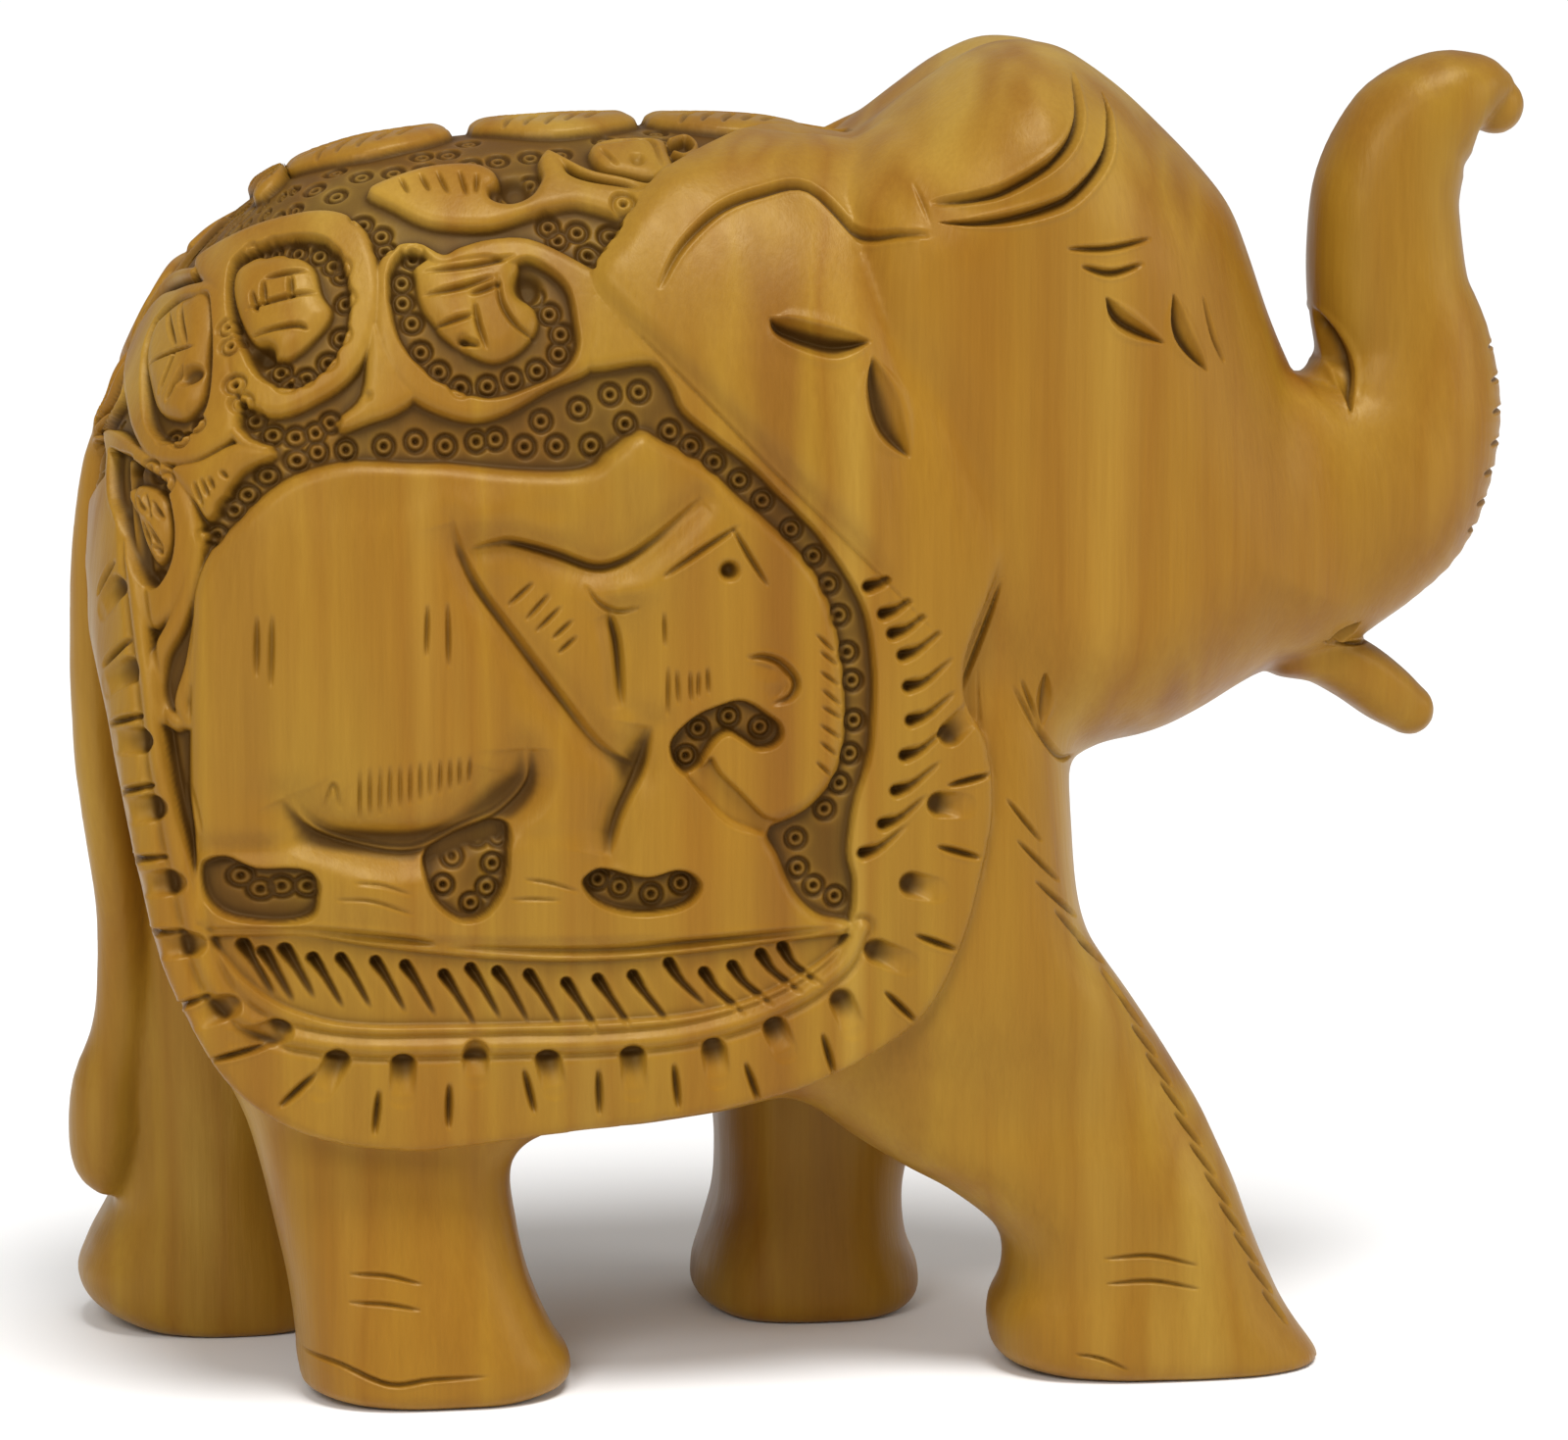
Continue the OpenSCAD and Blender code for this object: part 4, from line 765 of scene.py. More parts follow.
GROOVES = [
    (1.18, 1, [(-37.8, 91.9), (-35.7, 92.4), (-33.7, 92.5), (-29.2, 91.2), (-25.3, 89.8), (-22.2, 90.5),
    (-18.7, 92.9), (-14.2, 96.7)]),
    (1.18, 0.8, [(-40.2, 95.1), (-39, 91.3), (-37.2, 87.6), (-33.8, 82.9), (-29.3, 76.8), (-25.1, 71.5),
    (-21.2, 68.6)]),
    (0.64, 0.7, [(-34.4, 85.9), (-31.7, 88.3)]),
    (0.64, 0.7, [(-32.6, 84.4), (-30.1, 87.1)]),
    (0.64, 0.7, [(-31.6, 83.2), (-28.9, 85.8)]),
    (0.64, 0.7, [(-29.9, 82.4), (-27.7, 84.4)]),
    (0.64, 0.7, [(-29.3, 80.9), (-27.3, 82.7)]),
    (0.86, 0.6, [(-26.3, 87.8), (-25, 86.1), (-23, 85.1), (-20.6, 85.5)]),
    (1.28, 0.9, [(-23.8, 85.1), (-23, 81.4), (-22.5, 75.2)]),
    (0.96, 0.9, [(-18.4, 88.6), (-14.4, 91.3), (-10.4, 93.8)]),
    (0.86, 0.85, [(-11, 93.6), (-9.3, 90.6), (-7.4, 87.5)]),
    (1.18, 1.1, [(-9.5, 80.1), (-7.7, 80.1), (-5.9, 79.3), (-4.5, 77.5), (-5, 75.9), (-7, 75.1)]),
    (0.53, 0.65, [(-17.8, 79.3), (-17.8, 74.1)]),
    (0.53, 0.65, [(-16.9, 79), (-16.7, 75.3)]),
    (0.53, 0.65, [(-15.5, 78.8), (-15.4, 75.5)]),
    (0.53, 0.65, [(-14.6, 78.8), (-14.7, 75.9)]),
    (0.53, 0.65, [(-13.7, 79.2), (-13.6, 76.3)]),
    (0.53, 0.65, [(-18.2, 85), (-18.1, 81.3)]),
    (0.59, 0.65, [(-2.3, 82.4), (-0.2, 80.3)]),
    (0.59, 0.65, [(-1.9, 80.6), (0.1, 78.9)]),
    (0.59, 0.65, [(-1.9, 78.5), (0.3, 76.8)]),
    (0.59, 0.65, [(-1.7, 76.6), (0.5, 74.7)]),
    (0.59, 0.65, [(-1.7, 74.8), (0.6, 73.3)]),
    (0.59, 0.65, [(-1.9, 72.9), (0.5, 71.2)]),
    (0.59, 0.65, [(-1.9, 71.1), (0.1, 69.4)]),
    (0.59, 0.65, [(-2.3, 69), (-0.5, 67.3)]),
    (0.64, 0.7, [(-58.9, 85.2), (-59, 78.9)]),
    (0.64, 0.7, [(-57.7, 85.4), (-57.9, 77.9)]),
    (0.64, 0.7, [(-42.7, 86.3), (-42.9, 80.8)]),
    (0.64, 0.7, [(-40.6, 86.4), (-40.6, 79.7)]),
    (0.49, 0.6, [(-49.8, 69.2), (-49.9, 63.5)]),
    (0.49, 0.6, [(-48.8, 69.4), (-48.8, 63.9)]),
    (0.49, 0.6, [(-47.7, 69.5), (-47.8, 64.2)]),
    (0.49, 0.6, [(-46.7, 69.6), (-46.8, 64.6)]),
    (0.49, 0.6, [(-45.7, 69.7), (-45.7, 64.9)]),
    (0.49, 0.6, [(-44.6, 69.8), (-44.7, 65.3)]),
    (0.49, 0.6, [(-43.6, 69.9), (-43.6, 65.6)]),
    (0.49, 0.6, [(-42.6, 70), (-42.6, 65.9)]),
    (0.49, 0.6, [(-41.5, 70.1), (-41.6, 66.3)]),
    (0.49, 0.6, [(-40.5, 70.2), (-40.5, 66.6)]),
    (0.49, 0.6, [(-39.5, 70.3), (-39.5, 67)]),
    (0.49, 0.6, [(-38.4, 70.4), (-38.5, 67.3)]),
    (1.07, 0.9, [(-56.8, 66.3), (-54.8, 63.2), (-50.7, 61.4), (-44.4, 60.5), (-39.1, 62.7), (-35.2, 64.4),
    (-32.6, 67.4), (-32.4, 70.9)]),
    (0.53, 0.4, [(-65.1, 67.6), (-64.7, 64.6), (-64.1, 61.7)]),
    (0.53, 0.4, [(-64.4, 67.6), (-63.9, 65), (-63.5, 62.6)]),
    (0.53, 0.45, [(-50.6, 57.4), (-47.6, 57.1), (-44.6, 56)]),
    (0.53, 0.45, [(-52.5, 55.7), (-48.6, 55.5), (-44.4, 53.9)]),
    (0.53, 0.45, [(-32.9, 57.3), (-30.3, 56.9), (-27.2, 55.9)]),
    (0.53, 0.4, [(-34.4, 55.2), (-31.7, 55.2), (-29.1, 55)]),
    (1.07, 0.9, [(-19.4, 72.9), (-20.4, 68.8), (-22.7, 63.9), (-23.9, 59.4)]),
    (0.53, 0.5, [(-15.9, 67.9), (-11.8, 63), (-7.5, 61.3)]),
    (0.64, 0.5, [(-53.6, 65), (-52.5, 67.7), (-51.8, 65)]),
    (0.86, 0.85, [(-58.9, 121.7), (-54.2, 121.6)]),
    (0.86, 0.85, [(-59.1, 121.5), (-58.7, 118.4)]),
    (0.86, 0.85, [(-61, 118.6), (-53.3, 118.9)]),
    (0.86, 0.85, [(-60.4, 115.2), (-55.7, 115.4), (-54.3, 114.8)]),
    (0.86, 0.85, [(-55.9, 121.3), (-55.8, 118.5)]),
    (0.86, 0.85, [(-60.5, 120.7), (-59.5, 117.7)]),
    (0.86, 0.85, [(-42.2, 119.9), (-37.3, 120.3), (-32.8, 121.1)]),
    (0.86, 0.85, [(-42.3, 117.5), (-38.5, 118.1), (-35, 119)]),
    (0.86, 0.85, [(-41.3, 114.3), (-37.2, 115.3)]),
    (0.86, 0.85, [(-37.1, 116.5), (-36.8, 114.3), (-36, 111.8)]),
    (0.86, 0.85, [(-34.6, 119.2), (-34.3, 116.4), (-33, 114.2), (-31, 112.8)]),
    (0.86, 0.85, [(-37.5, 117.3), (-34.2, 118.4)]),
    (0.86, 0.85, [(-38.7, 112.8), (-36.7, 112.2)]),
    (0.75, 0.8, [(-75, 117.6), (-67.2, 116.2)]),
    (0.75, 0.8, [(-71.1, 110.6), (-69.8, 117.1)]),
    (0.75, 0.8, [(-69.6, 108.9), (-68.2, 114)]),
    (0.75, 0.8, [(-72.1, 125.3), (-68.3, 116.9)]),
    (0.75, 0.8, [(-74.3, 125.4), (-70.1, 117.6)]),
    (0.75, 0.8, [(-71.9, 96.6), (-70, 95)]),
    (0.75, 0.8, [(-70.7, 96.9), (-69.3, 94.5)]),
    (0.75, 0.8, [(-69.8, 96.4), (-68.1, 94.6)]),
    (0.75, 0.8, [(-70.7, 94.3), (-69.2, 91.9)]),
    (0.75, 0.8, [(-69.7, 94), (-67.9, 91.4)]),
    (0.75, 0.8, [(-68.9, 91.9), (-68, 91)]),
    (0.64, 0.7, [(-64.9, 98.6), (-63.9, 96.2)]),
    (0.64, 0.7, [(-64.2, 99), (-63.3, 97.1)]),
    (0.64, 0.7, [(-63.4, 99.2), (-62.9, 97.9)]),
    (0.64, 0.7, [(-62.3, 99.9), (-61.7, 99.1)]),
    (0.64, 0.7, [(-43.9, 131.4), (-43.2, 129)]),
    (0.64, 0.7, [(-41.8, 131.6), (-41, 129)]),
    (0.64, 0.7, [(-40, 131.7), (-39.1, 128.5)]),
    (0.64, 0.7, [(-37.7, 131.4), (-37.2, 128.1)]),
    (0.64, 0.7, [(-35.9, 130.8), (-36.2, 128.3)]),
    (0.64, 0.6, [(-22.6, 134.4), (-19.6, 135.1), (-17.1, 134.9), (-16.4, 130.4)]),
    (0.64, 0.5, [(-22.7, 133.7), (-21.1, 131.2)]),
    (1.28, 0.8, [(-63, 52.5), (-55.1, 52.3), (-46.6, 51.4), (-42, 50.6)]),
    (1.39, 0.9, [(-40.7, 50.3), (-30.3, 49.6), (-22.1, 49.5), (-15.9, 50), (-7.7, 50.7), (0.2, 51.3)]),
    (0.53, 0.35, [(-24.9, 117.7), (-20.4, 113), (-15.5, 108.1), (-6.6, 99.3), (2.7, 90.1), (11.2, 81.2)]),
]
EAR_CUTS = [
    (1.18, 1.1, [(-18, 116.9), (-15.4, 120.8), (-11.2, 124.4), (-6.7, 126.2), (-1.4, 127.1), (3.5, 122.1),
    (6.9, 120.6), (10.7, 120)]),
    (2.89, 2.3, [(-6.7, 113.8), (-5.3, 112.8), (-1, 111.6), (1.4, 111.5), (3.9, 111.8)]),
    (3.64, 2.1, [(4.1, 110.2), (4.7, 106.9), (5.8, 103.5), (7.8, 100.5)]),
    (0.64, 0.4, [(9, 125.1), (9.7, 123), (10.5, 120.9), (11.6, 117.2), (12.7, 113)]),
]
HEAD_CUTS = [
    (1.5, 1.4, [(10.8, 126.7), (14.8, 127.2), (18.5, 128.2), (24, 131.3), (26.7, 134.8), (27.3, 139.3)]),
    (1.71, 1.5, [(11.2, 124.7), (14.8, 124.7), (18.6, 125.1), (22.6, 126), (25.8, 127.4), (29.5, 131),
    (30.7, 134.9), (30.6, 137.4)]),
    (0.96, 1, [(24.9, 121.8), (29.5, 121.7), (34.3, 122.5)]),
    (1.07, 1.1, [(26.5, 119.9), (29.8, 119.1), (33.3, 119.9)]),
    (2.03, 1.5, [(29.2, 116.6), (31.2, 113.9), (35.9, 111.5)]),
    (2.03, 1.5, [(37, 116.6), (38, 112.3), (41, 108.3)]),
    (0.64, 0.6, [(40.7, 116.1), (41.8, 111.9), (43.2, 109)]),
    (0.53, 0.7, [(56.5, 77.4), (59.7, 76.8), (63.2, 76.5)]),
    (1.6, 1.8, [(57.1, 77.1), (58.8, 78.2), (60.8, 79.4)]),
    (2.14, 1.3, [(55.1, 115.2), (57.5, 111.4), (59.1, 108), (59.4, 105.4), (59.2, 102.4)]),
    (0.86, 0.6, [(19.5, 75.6), (22.5, 70.6), (25.2, 67.5), (27.5, 67)]),
    (1.71, 0.8, [(23, 77.1), (22.9, 71.2)]),
    (0.75, 0.7, [(17.8, 87), (15.9, 81), (13.6, 75)]),
    (0.64, 0.5, [(20.4, 76.3), (22.7, 70.8)]),
    (0.64, 0.6, [(18.6, 63.9), (22.6, 59)]),
    (0.64, 0.6, [(19.7, 59.5), (24.7, 54.5)]),
    (0.64, 0.6, [(21.8, 55), (27.1, 50.2)]),
    (0.64, 0.6, [(24.1, 51.6), (29.6, 45.5)]),
    (0.64, 0.6, [(26.9, 48.1), (30.5, 44.7)]),
    (0.64, 0.6, [(29.7, 44.5), (33.1, 39.9)]),
    (0.64, 0.7, [(31.7, 41.6), (34.7, 37.7)]),
    (0.64, 0.7, [(33.2, 38.3), (36.2, 34.4)]),
    (0.64, 0.7, [(34.8, 35.1), (37.8, 31.2)]),
    (0.64, 0.7, [(36.4, 31.9), (39.4, 27.9)]),
    (0.64, 0.7, [(37.9, 28.6), (41, 24.7)]),
    (0.64, 0.7, [(39.5, 25.3), (42.5, 21.4)]),
    (0.64, 0.7, [(41.1, 22.1), (44.1, 18.1)]),
    (0.64, 0.7, [(42.7, 18.8), (45.7, 14.8)]),
    (0.64, 0.7, [(44.3, 15.5), (47.3, 11.5)]),
    (0.64, 0.7, [(45.9, 12.2), (48.9, 8.3)]),
    (0.64, 0.7, [(47.5, 8.9), (50.5, 4.9)]),
    (0.64, 0.55, [(29.5, 13.7), (34.8, 13.9), (39.9, 12.6)]),
    (0.64, 0.55, [(29.7, 11), (34.8, 11.2), (40, 10.1)]),
    (0.53, 0.5, [(26.4, 3.4), (29.1, 3), (32.1, 1.7)]),
    (0.64, 0.55, [(-51.2, 14.8), (-47.3, 14.6), (-43.5, 13.6)]),
    (0.64, 0.55, [(-51.3, 11.8), (-47.3, 11.6), (-43.7, 10.9)]),
    (0.75, 0.7, [(-55.9, 5.8), (-52.2, 5.1), (-47.1, 3.2), (-42.7, 3.6), (-36.7, 3.7)]),
    (0.75, 0.55, [(15.6, 77.3), (15.9, 70), (16, 62.7), (15.5, 56.5), (13.8, 50.6), (10.7, 44.6),
    (5.6, 39.7), (0.5, 35.2)]),
    (0.75, 0.6, [(75.9, 108.8), (77.4, 109), (79.6, 109.1)]),
    (0.75, 0.6, [(75.9, 105.2), (77.5, 105.4), (79.7, 105.5)]),
    (0.75, 0.6, [(76, 101.8), (77.5, 102), (79.7, 102)]),
    (0.75, 0.6, [(75.8, 98.3), (77.3, 98.5), (79.5, 98.6)]),
    (0.75, 0.6, [(75, 95.1), (76.4, 95.3), (78.6, 95.3)]),
    (0.75, 0.6, [(74.3, 91.8), (75.4, 92), (77.6, 92.1)]),
    (0.75, 0.6, [(73.5, 88.8), (74.5, 89), (76.8, 89.1)]),
]
BORDER_INNER = [
    (-75.6, 99.8), (-73.2, 95.1), (-71.3, 89.3), (-69.9, 83.4), (-68.6, 77.5), (-67.6, 71.5), (-66.5, 65.5),
    (-65.5, 60.2), (-64.4, 54.3), (-63.6, 49.6), (-62, 45.3), (-59.4, 42.5), (-55.7, 40.7), (-49.8, 39.8),
    (-42.7, 39.6), (-34.5, 39.6), (-26.3, 39.5), (-18, 39.9), (-11.8, 41), (-6.6, 42.7), (-2.3, 44.9),
    (0.9, 47.5),
    (2.7, 51), (3.8, 54.5), (5.7, 58.4), (8.4, 63.1), (10.2, 67.2), (11.3, 71.5), (11.9, 75), (20, 84),
    (24, 100),
    (24, 150), (-110, 150), (-110, 97),
]
LEAF_SIDE = [
    (1.8, 88.1), (3.1, 85.8), (4.8, 82.8), (5.1, 77.7), (5.2, 72.5), (4.8, 67.3), (3.5, 63.2), (2.5, 59.1),
    (2.7, 53.9), (3.8, 54.5), (5.7, 58.4), (8.4, 63.1), (10.2, 67.2), (11.3, 71.5), (11.9, 75), (12.5, 80.1),
    (8.9, 84.8), (4.8, 88.5),
]
# the spine and the rump, which the two sides share
TOP_LEAVES = [
    [(u - 9.2, 144.4), (u - 6.4, 141), (u - 1, 138.8), (u + 5, 140), (u + 8.4, 143.6), (u + 5, 151),
    (u - 5, 151)] for u in (-66, -46, -26, -7)
] + [[(-97, v - 5.6), (-91, v - 4.6), (-87.6, v), (-90.4, v + 4.8), (-97, v + 5.8)] for v in (108, 121, 134)]
FAR_LEG_CUTS = [
    (0.7, 0.6, [(-1, 13.6), (5, 14), (10.6, 13.4)]), (0.7, 0.6, [(-1, 10.6), (5, 11), (10.6, 10.4)]),
    (0.7, 0.6, [(-72, 13.6), (-66, 14), (-60, 13.4)]), (0.7, 0.6, [(-72, 10.6), (-66, 11), (-60, 10.4)]),
    (0.8, 0.6, [(-8, 4.6), (-4, 4), (2, 2.6), (8, 3), (14, 3.6)]),
    (0.8, 0.6, [(-77, 5), (-72, 4.4), (-66, 3), (-60, 3.4), (-53, 4)]),
]


def on_chart(x, z, t=CLOTH_T):
    """Place on the side chart of a point of the flank at x, z."""
    y = np.maximum(flank(np.array([x]), np.array([z]), t)[0], 4.0)
    u = x if x >= WRAP_REAR[0] else WRAP_REAR[0] - WRAP_REAR[1] * math.atan2(WRAP_REAR[0] - x, y)
    v = z if z <= WRAP_TOP[0] else WRAP_TOP[0] + WRAP_TOP[1] * math.atan2(z - WRAP_TOP[0], y)
    return u, v


def side_chart():
    """Cloth and ears of one side; returns the heights and the area of each element."""
    c = Chart((-94, 24), (24, 147))
    ear = c.outline([on_chart(x, z, 4.3) for x, z in EAR], 4.0)
    cloth = c.outline([on_chart(x, z) for x, z in CLOTH if z < 90] + [(24, 100), (24, 150), (-110, 150),
        (-110, 97), (-92, 90)], 14.0)
    area = {}
    c.sink(FIELD, GROUND, 0.7)
    c.h *= np.clip((ear - 0.4) / 0.8, 0, 1)
    for name in ("out0", "out1", "out2", "out3", "corner3", "leaf23", "leaftop", "eye", "vine"):
        c.leave(SHAPES[name], 0.05, 0.35, 1.0)
        area[name] = c.outline(SHAPES[name], 0.5) < 0
    for name in ("hol0", "hol1", "hol2", "hol3"):
        c.sink(SHAPES[name], GROUND, 0.6)
    for name in ("mot0", "mot1", "mot2", "mot3"):
        c.leave(SHAPES[name], 0.1, 0.8, 2.2)
    for width, line in RIDGES:
        c.ridge(line, width)
    for leaf in TOP_LEAVES:
        c.leave(leaf, 0.15, 0.7, 1.8)
    c.leave(FIGURE, 0.5, 0.7, 1.3)
    figure = c.outline(FIGURE, 0.5) < 0
    for name in ("pocket_mouth", "pocket_oval", "pocket_belly", "pocket_rear"):
        c.sink(SHAPES[name], GROUND, 0.5)
    c.sink(SHAPES["pocket_strip"], 0.6, 0.5)
    for u, v, wide, tall, height in SWELLS:
        c.swell(u, v, wide, tall, 1.7 * height, figure)
    for width, depth, line in SCOOPS:
        c.scoop(line, width, 2.0 * depth, figure)
    for run, depth, line in SHELVES:
        c.shelf(line, run, depth, figure)
    c.sink(CRESCENT, 0.9, 0.5)
    rim, _ = c.near(curve(BORDER_RIM, cuts=4), 3.0)
    c.h += 0.35 * np.exp(-((rim / 0.55) ** 2)) - 0.45 * np.exp(-(((rim - 1.15) / 0.4) ** 2))
    for line, wide in [(line, 1.7) for line in LEAF_CUTS] + [(line, 1.35) for line in PANEL_CUTS]:
        p, q = np.array(line[0]), np.array(line[1])
        c.cut(line, 1.15, 0.9, 0.4)
        c.drop(p, (q - p) / np.hypot(*(q - p)), 1.7, wide, 1.0)
    rings = list(RINGS)
    for k, (u, v) in enumerate([(u, v) for v in np.arange(99, 146, 2.75) for u in np.arange(-91, 6, 2.9)]):
        u, v = u + 0.5 * math.sin(5 * k), v + 0.4 * math.cos(7 * k)
        s = c.span([(u, v)], 1.15)
        clear = all(math.hypot(u - a, v - b) > 2.6 for a, b in rings)
        if clear and (c.h[s] < 0.15 - GROUND).mean() > 0.97 and c.h[s].size > 200:
            rings.append((u, v))
    for u, v in rings:
        c.ring(u, v)
    for u, v, radius, depth in HOLES:
        c.dot(u, v, radius, depth)
    for width, depth, line in GROOVES:
        c.cut(line, width, depth)
    # dents and cuts of the border point away from its inner edge
    gu, gv = np.gradient(soften(cloth, 6))
    for places in (DENTS, CUTS):
        for k, (u, v) in enumerate(places):
            i = int(np.clip((u - c.u[0]) / RES, 2, c.u.size - 3))
            j = int(np.clip((v - c.v[0]) / RES, 2, c.v.size - 3))
            out = np.array([gu[i, j], gv[i, j]])
            out = out / np.hypot(*out) if np.hypot(*out) > 1e-3 else np.array([-0.98, -0.2])
            tilt = 0.12 * math.sin(2.4 * k)
            out = out @ np.array([[math.cos(tilt), math.sin(tilt)], [-math.sin(tilt), math.cos(tilt)]])
            p = np.array([u, v])
            if places is DENTS:
                c.drop(p - out * 0.6, out, 3.0 + 0.5 * math.sin(1.7 * k), 2.7, 1.5)
            else:
                c.cut([p - out * 2.0, p + out * 2.9], 0.95, 1.1)
    for k, leaf in enumerate(TOP_LEAVES):
        m = np.mean(leaf[1:4], axis=0)
        if k < 4:
            for t in (-1, -0.5, 0, 0.5, 1):
                c.cut([(m[0] + 4.4 * t - 0.9, m[1] + abs(t)), (m[0] + 4.4 * t + 1, m[1] + 4.4)], 0.8, 0.8)
            c.cut([(m[0] - 7, m[1] + 4), (m[0], m[1] + 5.4), (m[0] + 7.5, m[1] + 4.6)], 1.1, 0.9)
        else:
            for t in (-0.5, 0, 0.5):
                c.cut([(m[0] - 3, m[1] + 6 * t - 1), (m[0] - 0.4, m[1] + 6 * t + 0.4)], 0.8, 0.7)
    c.h = np.where(ear < 0.3, 0, c.h - c.bite)
    c.h = np.maximum(c.h, -2.7)
    for width, depth, line in EAR_CUTS:
        c.cut(line, width, depth)
    c.h = soften(c.h, 1)
    area["figure"] = figure
    area["leaf_band"] = (c.outline(CRESCENT, 1.0) < 0.4) | (c.outline(LEAF_SIDE, 1.0) < 0)
    area["border"] = c.outline(BORDER_INNER, 1.0) > 0
    return c, area


def plain_chart(cuts):
    """Head, trunk and legs of one side, seen square on."""
    c = Chart((-84, -2), (84, 146))
    for width, depth, line in cuts:
        c.cut(line, width, depth)
    return c


# ---------- from the solid to the carved surface ----------
def corner_sums(n, faces, values):
    out = np.empty((n, 3))
    for i in range(3):
        v = np.repeat(values[:, i], faces.shape[1])
        out[:, i] = np.bincount(faces.ravel(), v, n)
    return out


def normals_of(points, quads):
    a, b, c, d = (points[quads[:, k]] for k in range(4))
    n = corner_sums(len(points), quads, np.cross(c - a, d - b))
    return n / np.maximum(np.linalg.norm(n, axis=1), 1e-12)[:, None]


def edges_of(quads):
    """Unique edges, and the edge number of each side of each quad."""
    pairs = np.stack([quads, np.roll(quads, -1, axis=1)], axis=2).reshape(-1, 2)
    pairs.sort(axis=1)
    key = pairs[:, 0] * (1 << 32) + pairs[:, 1]
    unique, side = np.unique(key, return_inverse=True)
    return np.stack([unique >> 32, unique & ((1 << 32) - 1)], axis=1), side.reshape(-1, 4)


def relax(values, edges, n, times, share=0.5):
    """Moves each value towards the mean of its neighbours."""
    count = np.bincount(edges.ravel(), minlength=n)
    for _ in range(times):
        out = np.zeros_like(values)
        for i in range(values.shape[1]):
            out[:, i] = np.bincount(edges[:, 0], values[edges[:, 1], i], n) + np.bincount(edges[:, 1],
                values[edges[:, 0], i], n)
        values = values * (1 - share) + share * out / count[:, None]
    return values


def refine(points, normals, extra, quads, edges, side, fine, cuts):
    """Cuts the fine quads into cuts x cuts; their neighbours gain the new points on the shared edges."""
    n = len(points)
    fine_edge = np.zeros(len(edges), bool)
    fine_edge[side[fine].ravel()] = True
    number = np.cumsum(fine_edge) - 1
    cut_edges = edges[fine_edge]
    inner = cuts - 1
    t = (np.arange(1, cuts) / cuts)[None, :, None]
    # weights of every new point on its corner points
    edge_ids = np.repeat(cut_edges[:, None, :], inner, axis=1).reshape(-1, 2)
    edge_w = np.broadcast_to(np.concatenate([1 - t, t], axis=2), (len(cut_edges), inner, 2)).reshape(-1, 2)
    big = quads[fine]
    s, r = np.meshgrid(np.arange(1, cuts) / cuts, np.arange(1, cuts) / cuts, indexing="ij")
    face_w = np.stack([(1 - s) * (1 - r), s * (1 - r), s * r, (1 - s) * r], axis=2).reshape(1, -1, 4)
    face_ids = np.repeat(big[:, None, :], inner * inner, axis=1).reshape(-1, 4)
    face_w = np.broadcast_to(face_w, (len(big), inner * inner, 4)).reshape(-1, 4)

    def place(ids, w):
        p = (points[ids] * w[..., None]).sum(1)
        bent = np.zeros_like(p)
        for k in range(ids.shape[1]):
            q, m = points[ids[:, k]], normals[ids[:, k]]
            bent += w[:, k : k + 1] * (p - ((p - q) * m).sum(1, keepdims=True) * m)
        m = (normals[ids] * w[..., None]).sum(1)
        return p * 0.3 + bent * 0.7, m / np.linalg.norm(m, axis=1,
            keepdims=True), (extra[ids] * w[..., None]).sum(1)

    parts = [place(edge_ids, edge_w), place(face_ids, face_w)]
    points2 = np.concatenate([points, parts[0][0], parts[1][0]])
    normals2 = np.concatenate([normals, parts[0][1], parts[1][1]])
    extra2 = np.concatenate([extra, parts[0][2], parts[1][2]])
    # lattice of point numbers of each fine quad
    m = len(big)
    lattice = np.zeros((m, cuts + 1, cuts + 1), np.int64)
    c0, c1, c2, c3 = big.T
    lattice[:, 0, 0], lattice[:, cuts, 0], lattice[:, cuts, cuts], lattice[:, 0, cuts] = c0, c1, c2, c3
    base = n + len(cut_edges) * inner
    ids = base + np.arange(m * inner * inner).reshape(m, inner, inner)
    lattice[:, 1:cuts, 1:cuts] = ids
    sides = side[fine]
    for k, (a, b) in enumerate(((c0, c1), (c1, c2), (c2, c3), (c3, c0))):
        e = number[sides[:, k]]
        forward = (a < b)[:, None]
        run = n + e[:, None] * inner + np.where(forward, np.arange(inner)[None, :],
            np.arange(inner)[None, ::-1])
        if k == 0:
            lattice[:, 1:cuts, 0] = run
        elif k == 1:
            lattice[:, cuts, 1:cuts] = run
        elif k == 2:
            lattice[:, 1:cuts, cuts] = run[:, ::-1]
        else:
            lattice[:, 0, 1:cuts] = run[:, ::-1]
    small = np.stack([lattice[:, :-1, :-1], lattice[:, 1:, :-1], lattice[:, 1:, 1:], lattice[:, :-1, 1:]],
        axis=3).reshape(-1, 4)
    rest = ~fine
    touched = rest & fine_edge[side].any(axis=1)
    plain = quads[rest & ~touched]
    many = []
    for q, es in zip(quads[touched], side[touched]):
        loop = []
        for k in range(4):
            loop.append(int(q[k]))
            if fine_edge[es[k]]:
                run = [int(n + number[es[k]] * inner + i) for i in range(inner)]
                loop += run if q[k] < q[(k + 1) % 4] else run[::-1]
        many.append(loop)
    return points2, normals2, extra2, np.concatenate([small, plain]), many


def smooth(t):
    t = np.clip(t, 0, 1)
    return t * t * (3 - 2 * t)


def sample(grid, points):
    """Nearest value of a grid array at points in mm."""
    i = np.clip(np.rint((points - LOW) / STEP).astype(int), 0, SIZE - 1)
    return grid[i[:, 0], i[:, 1], i[:, 2]]


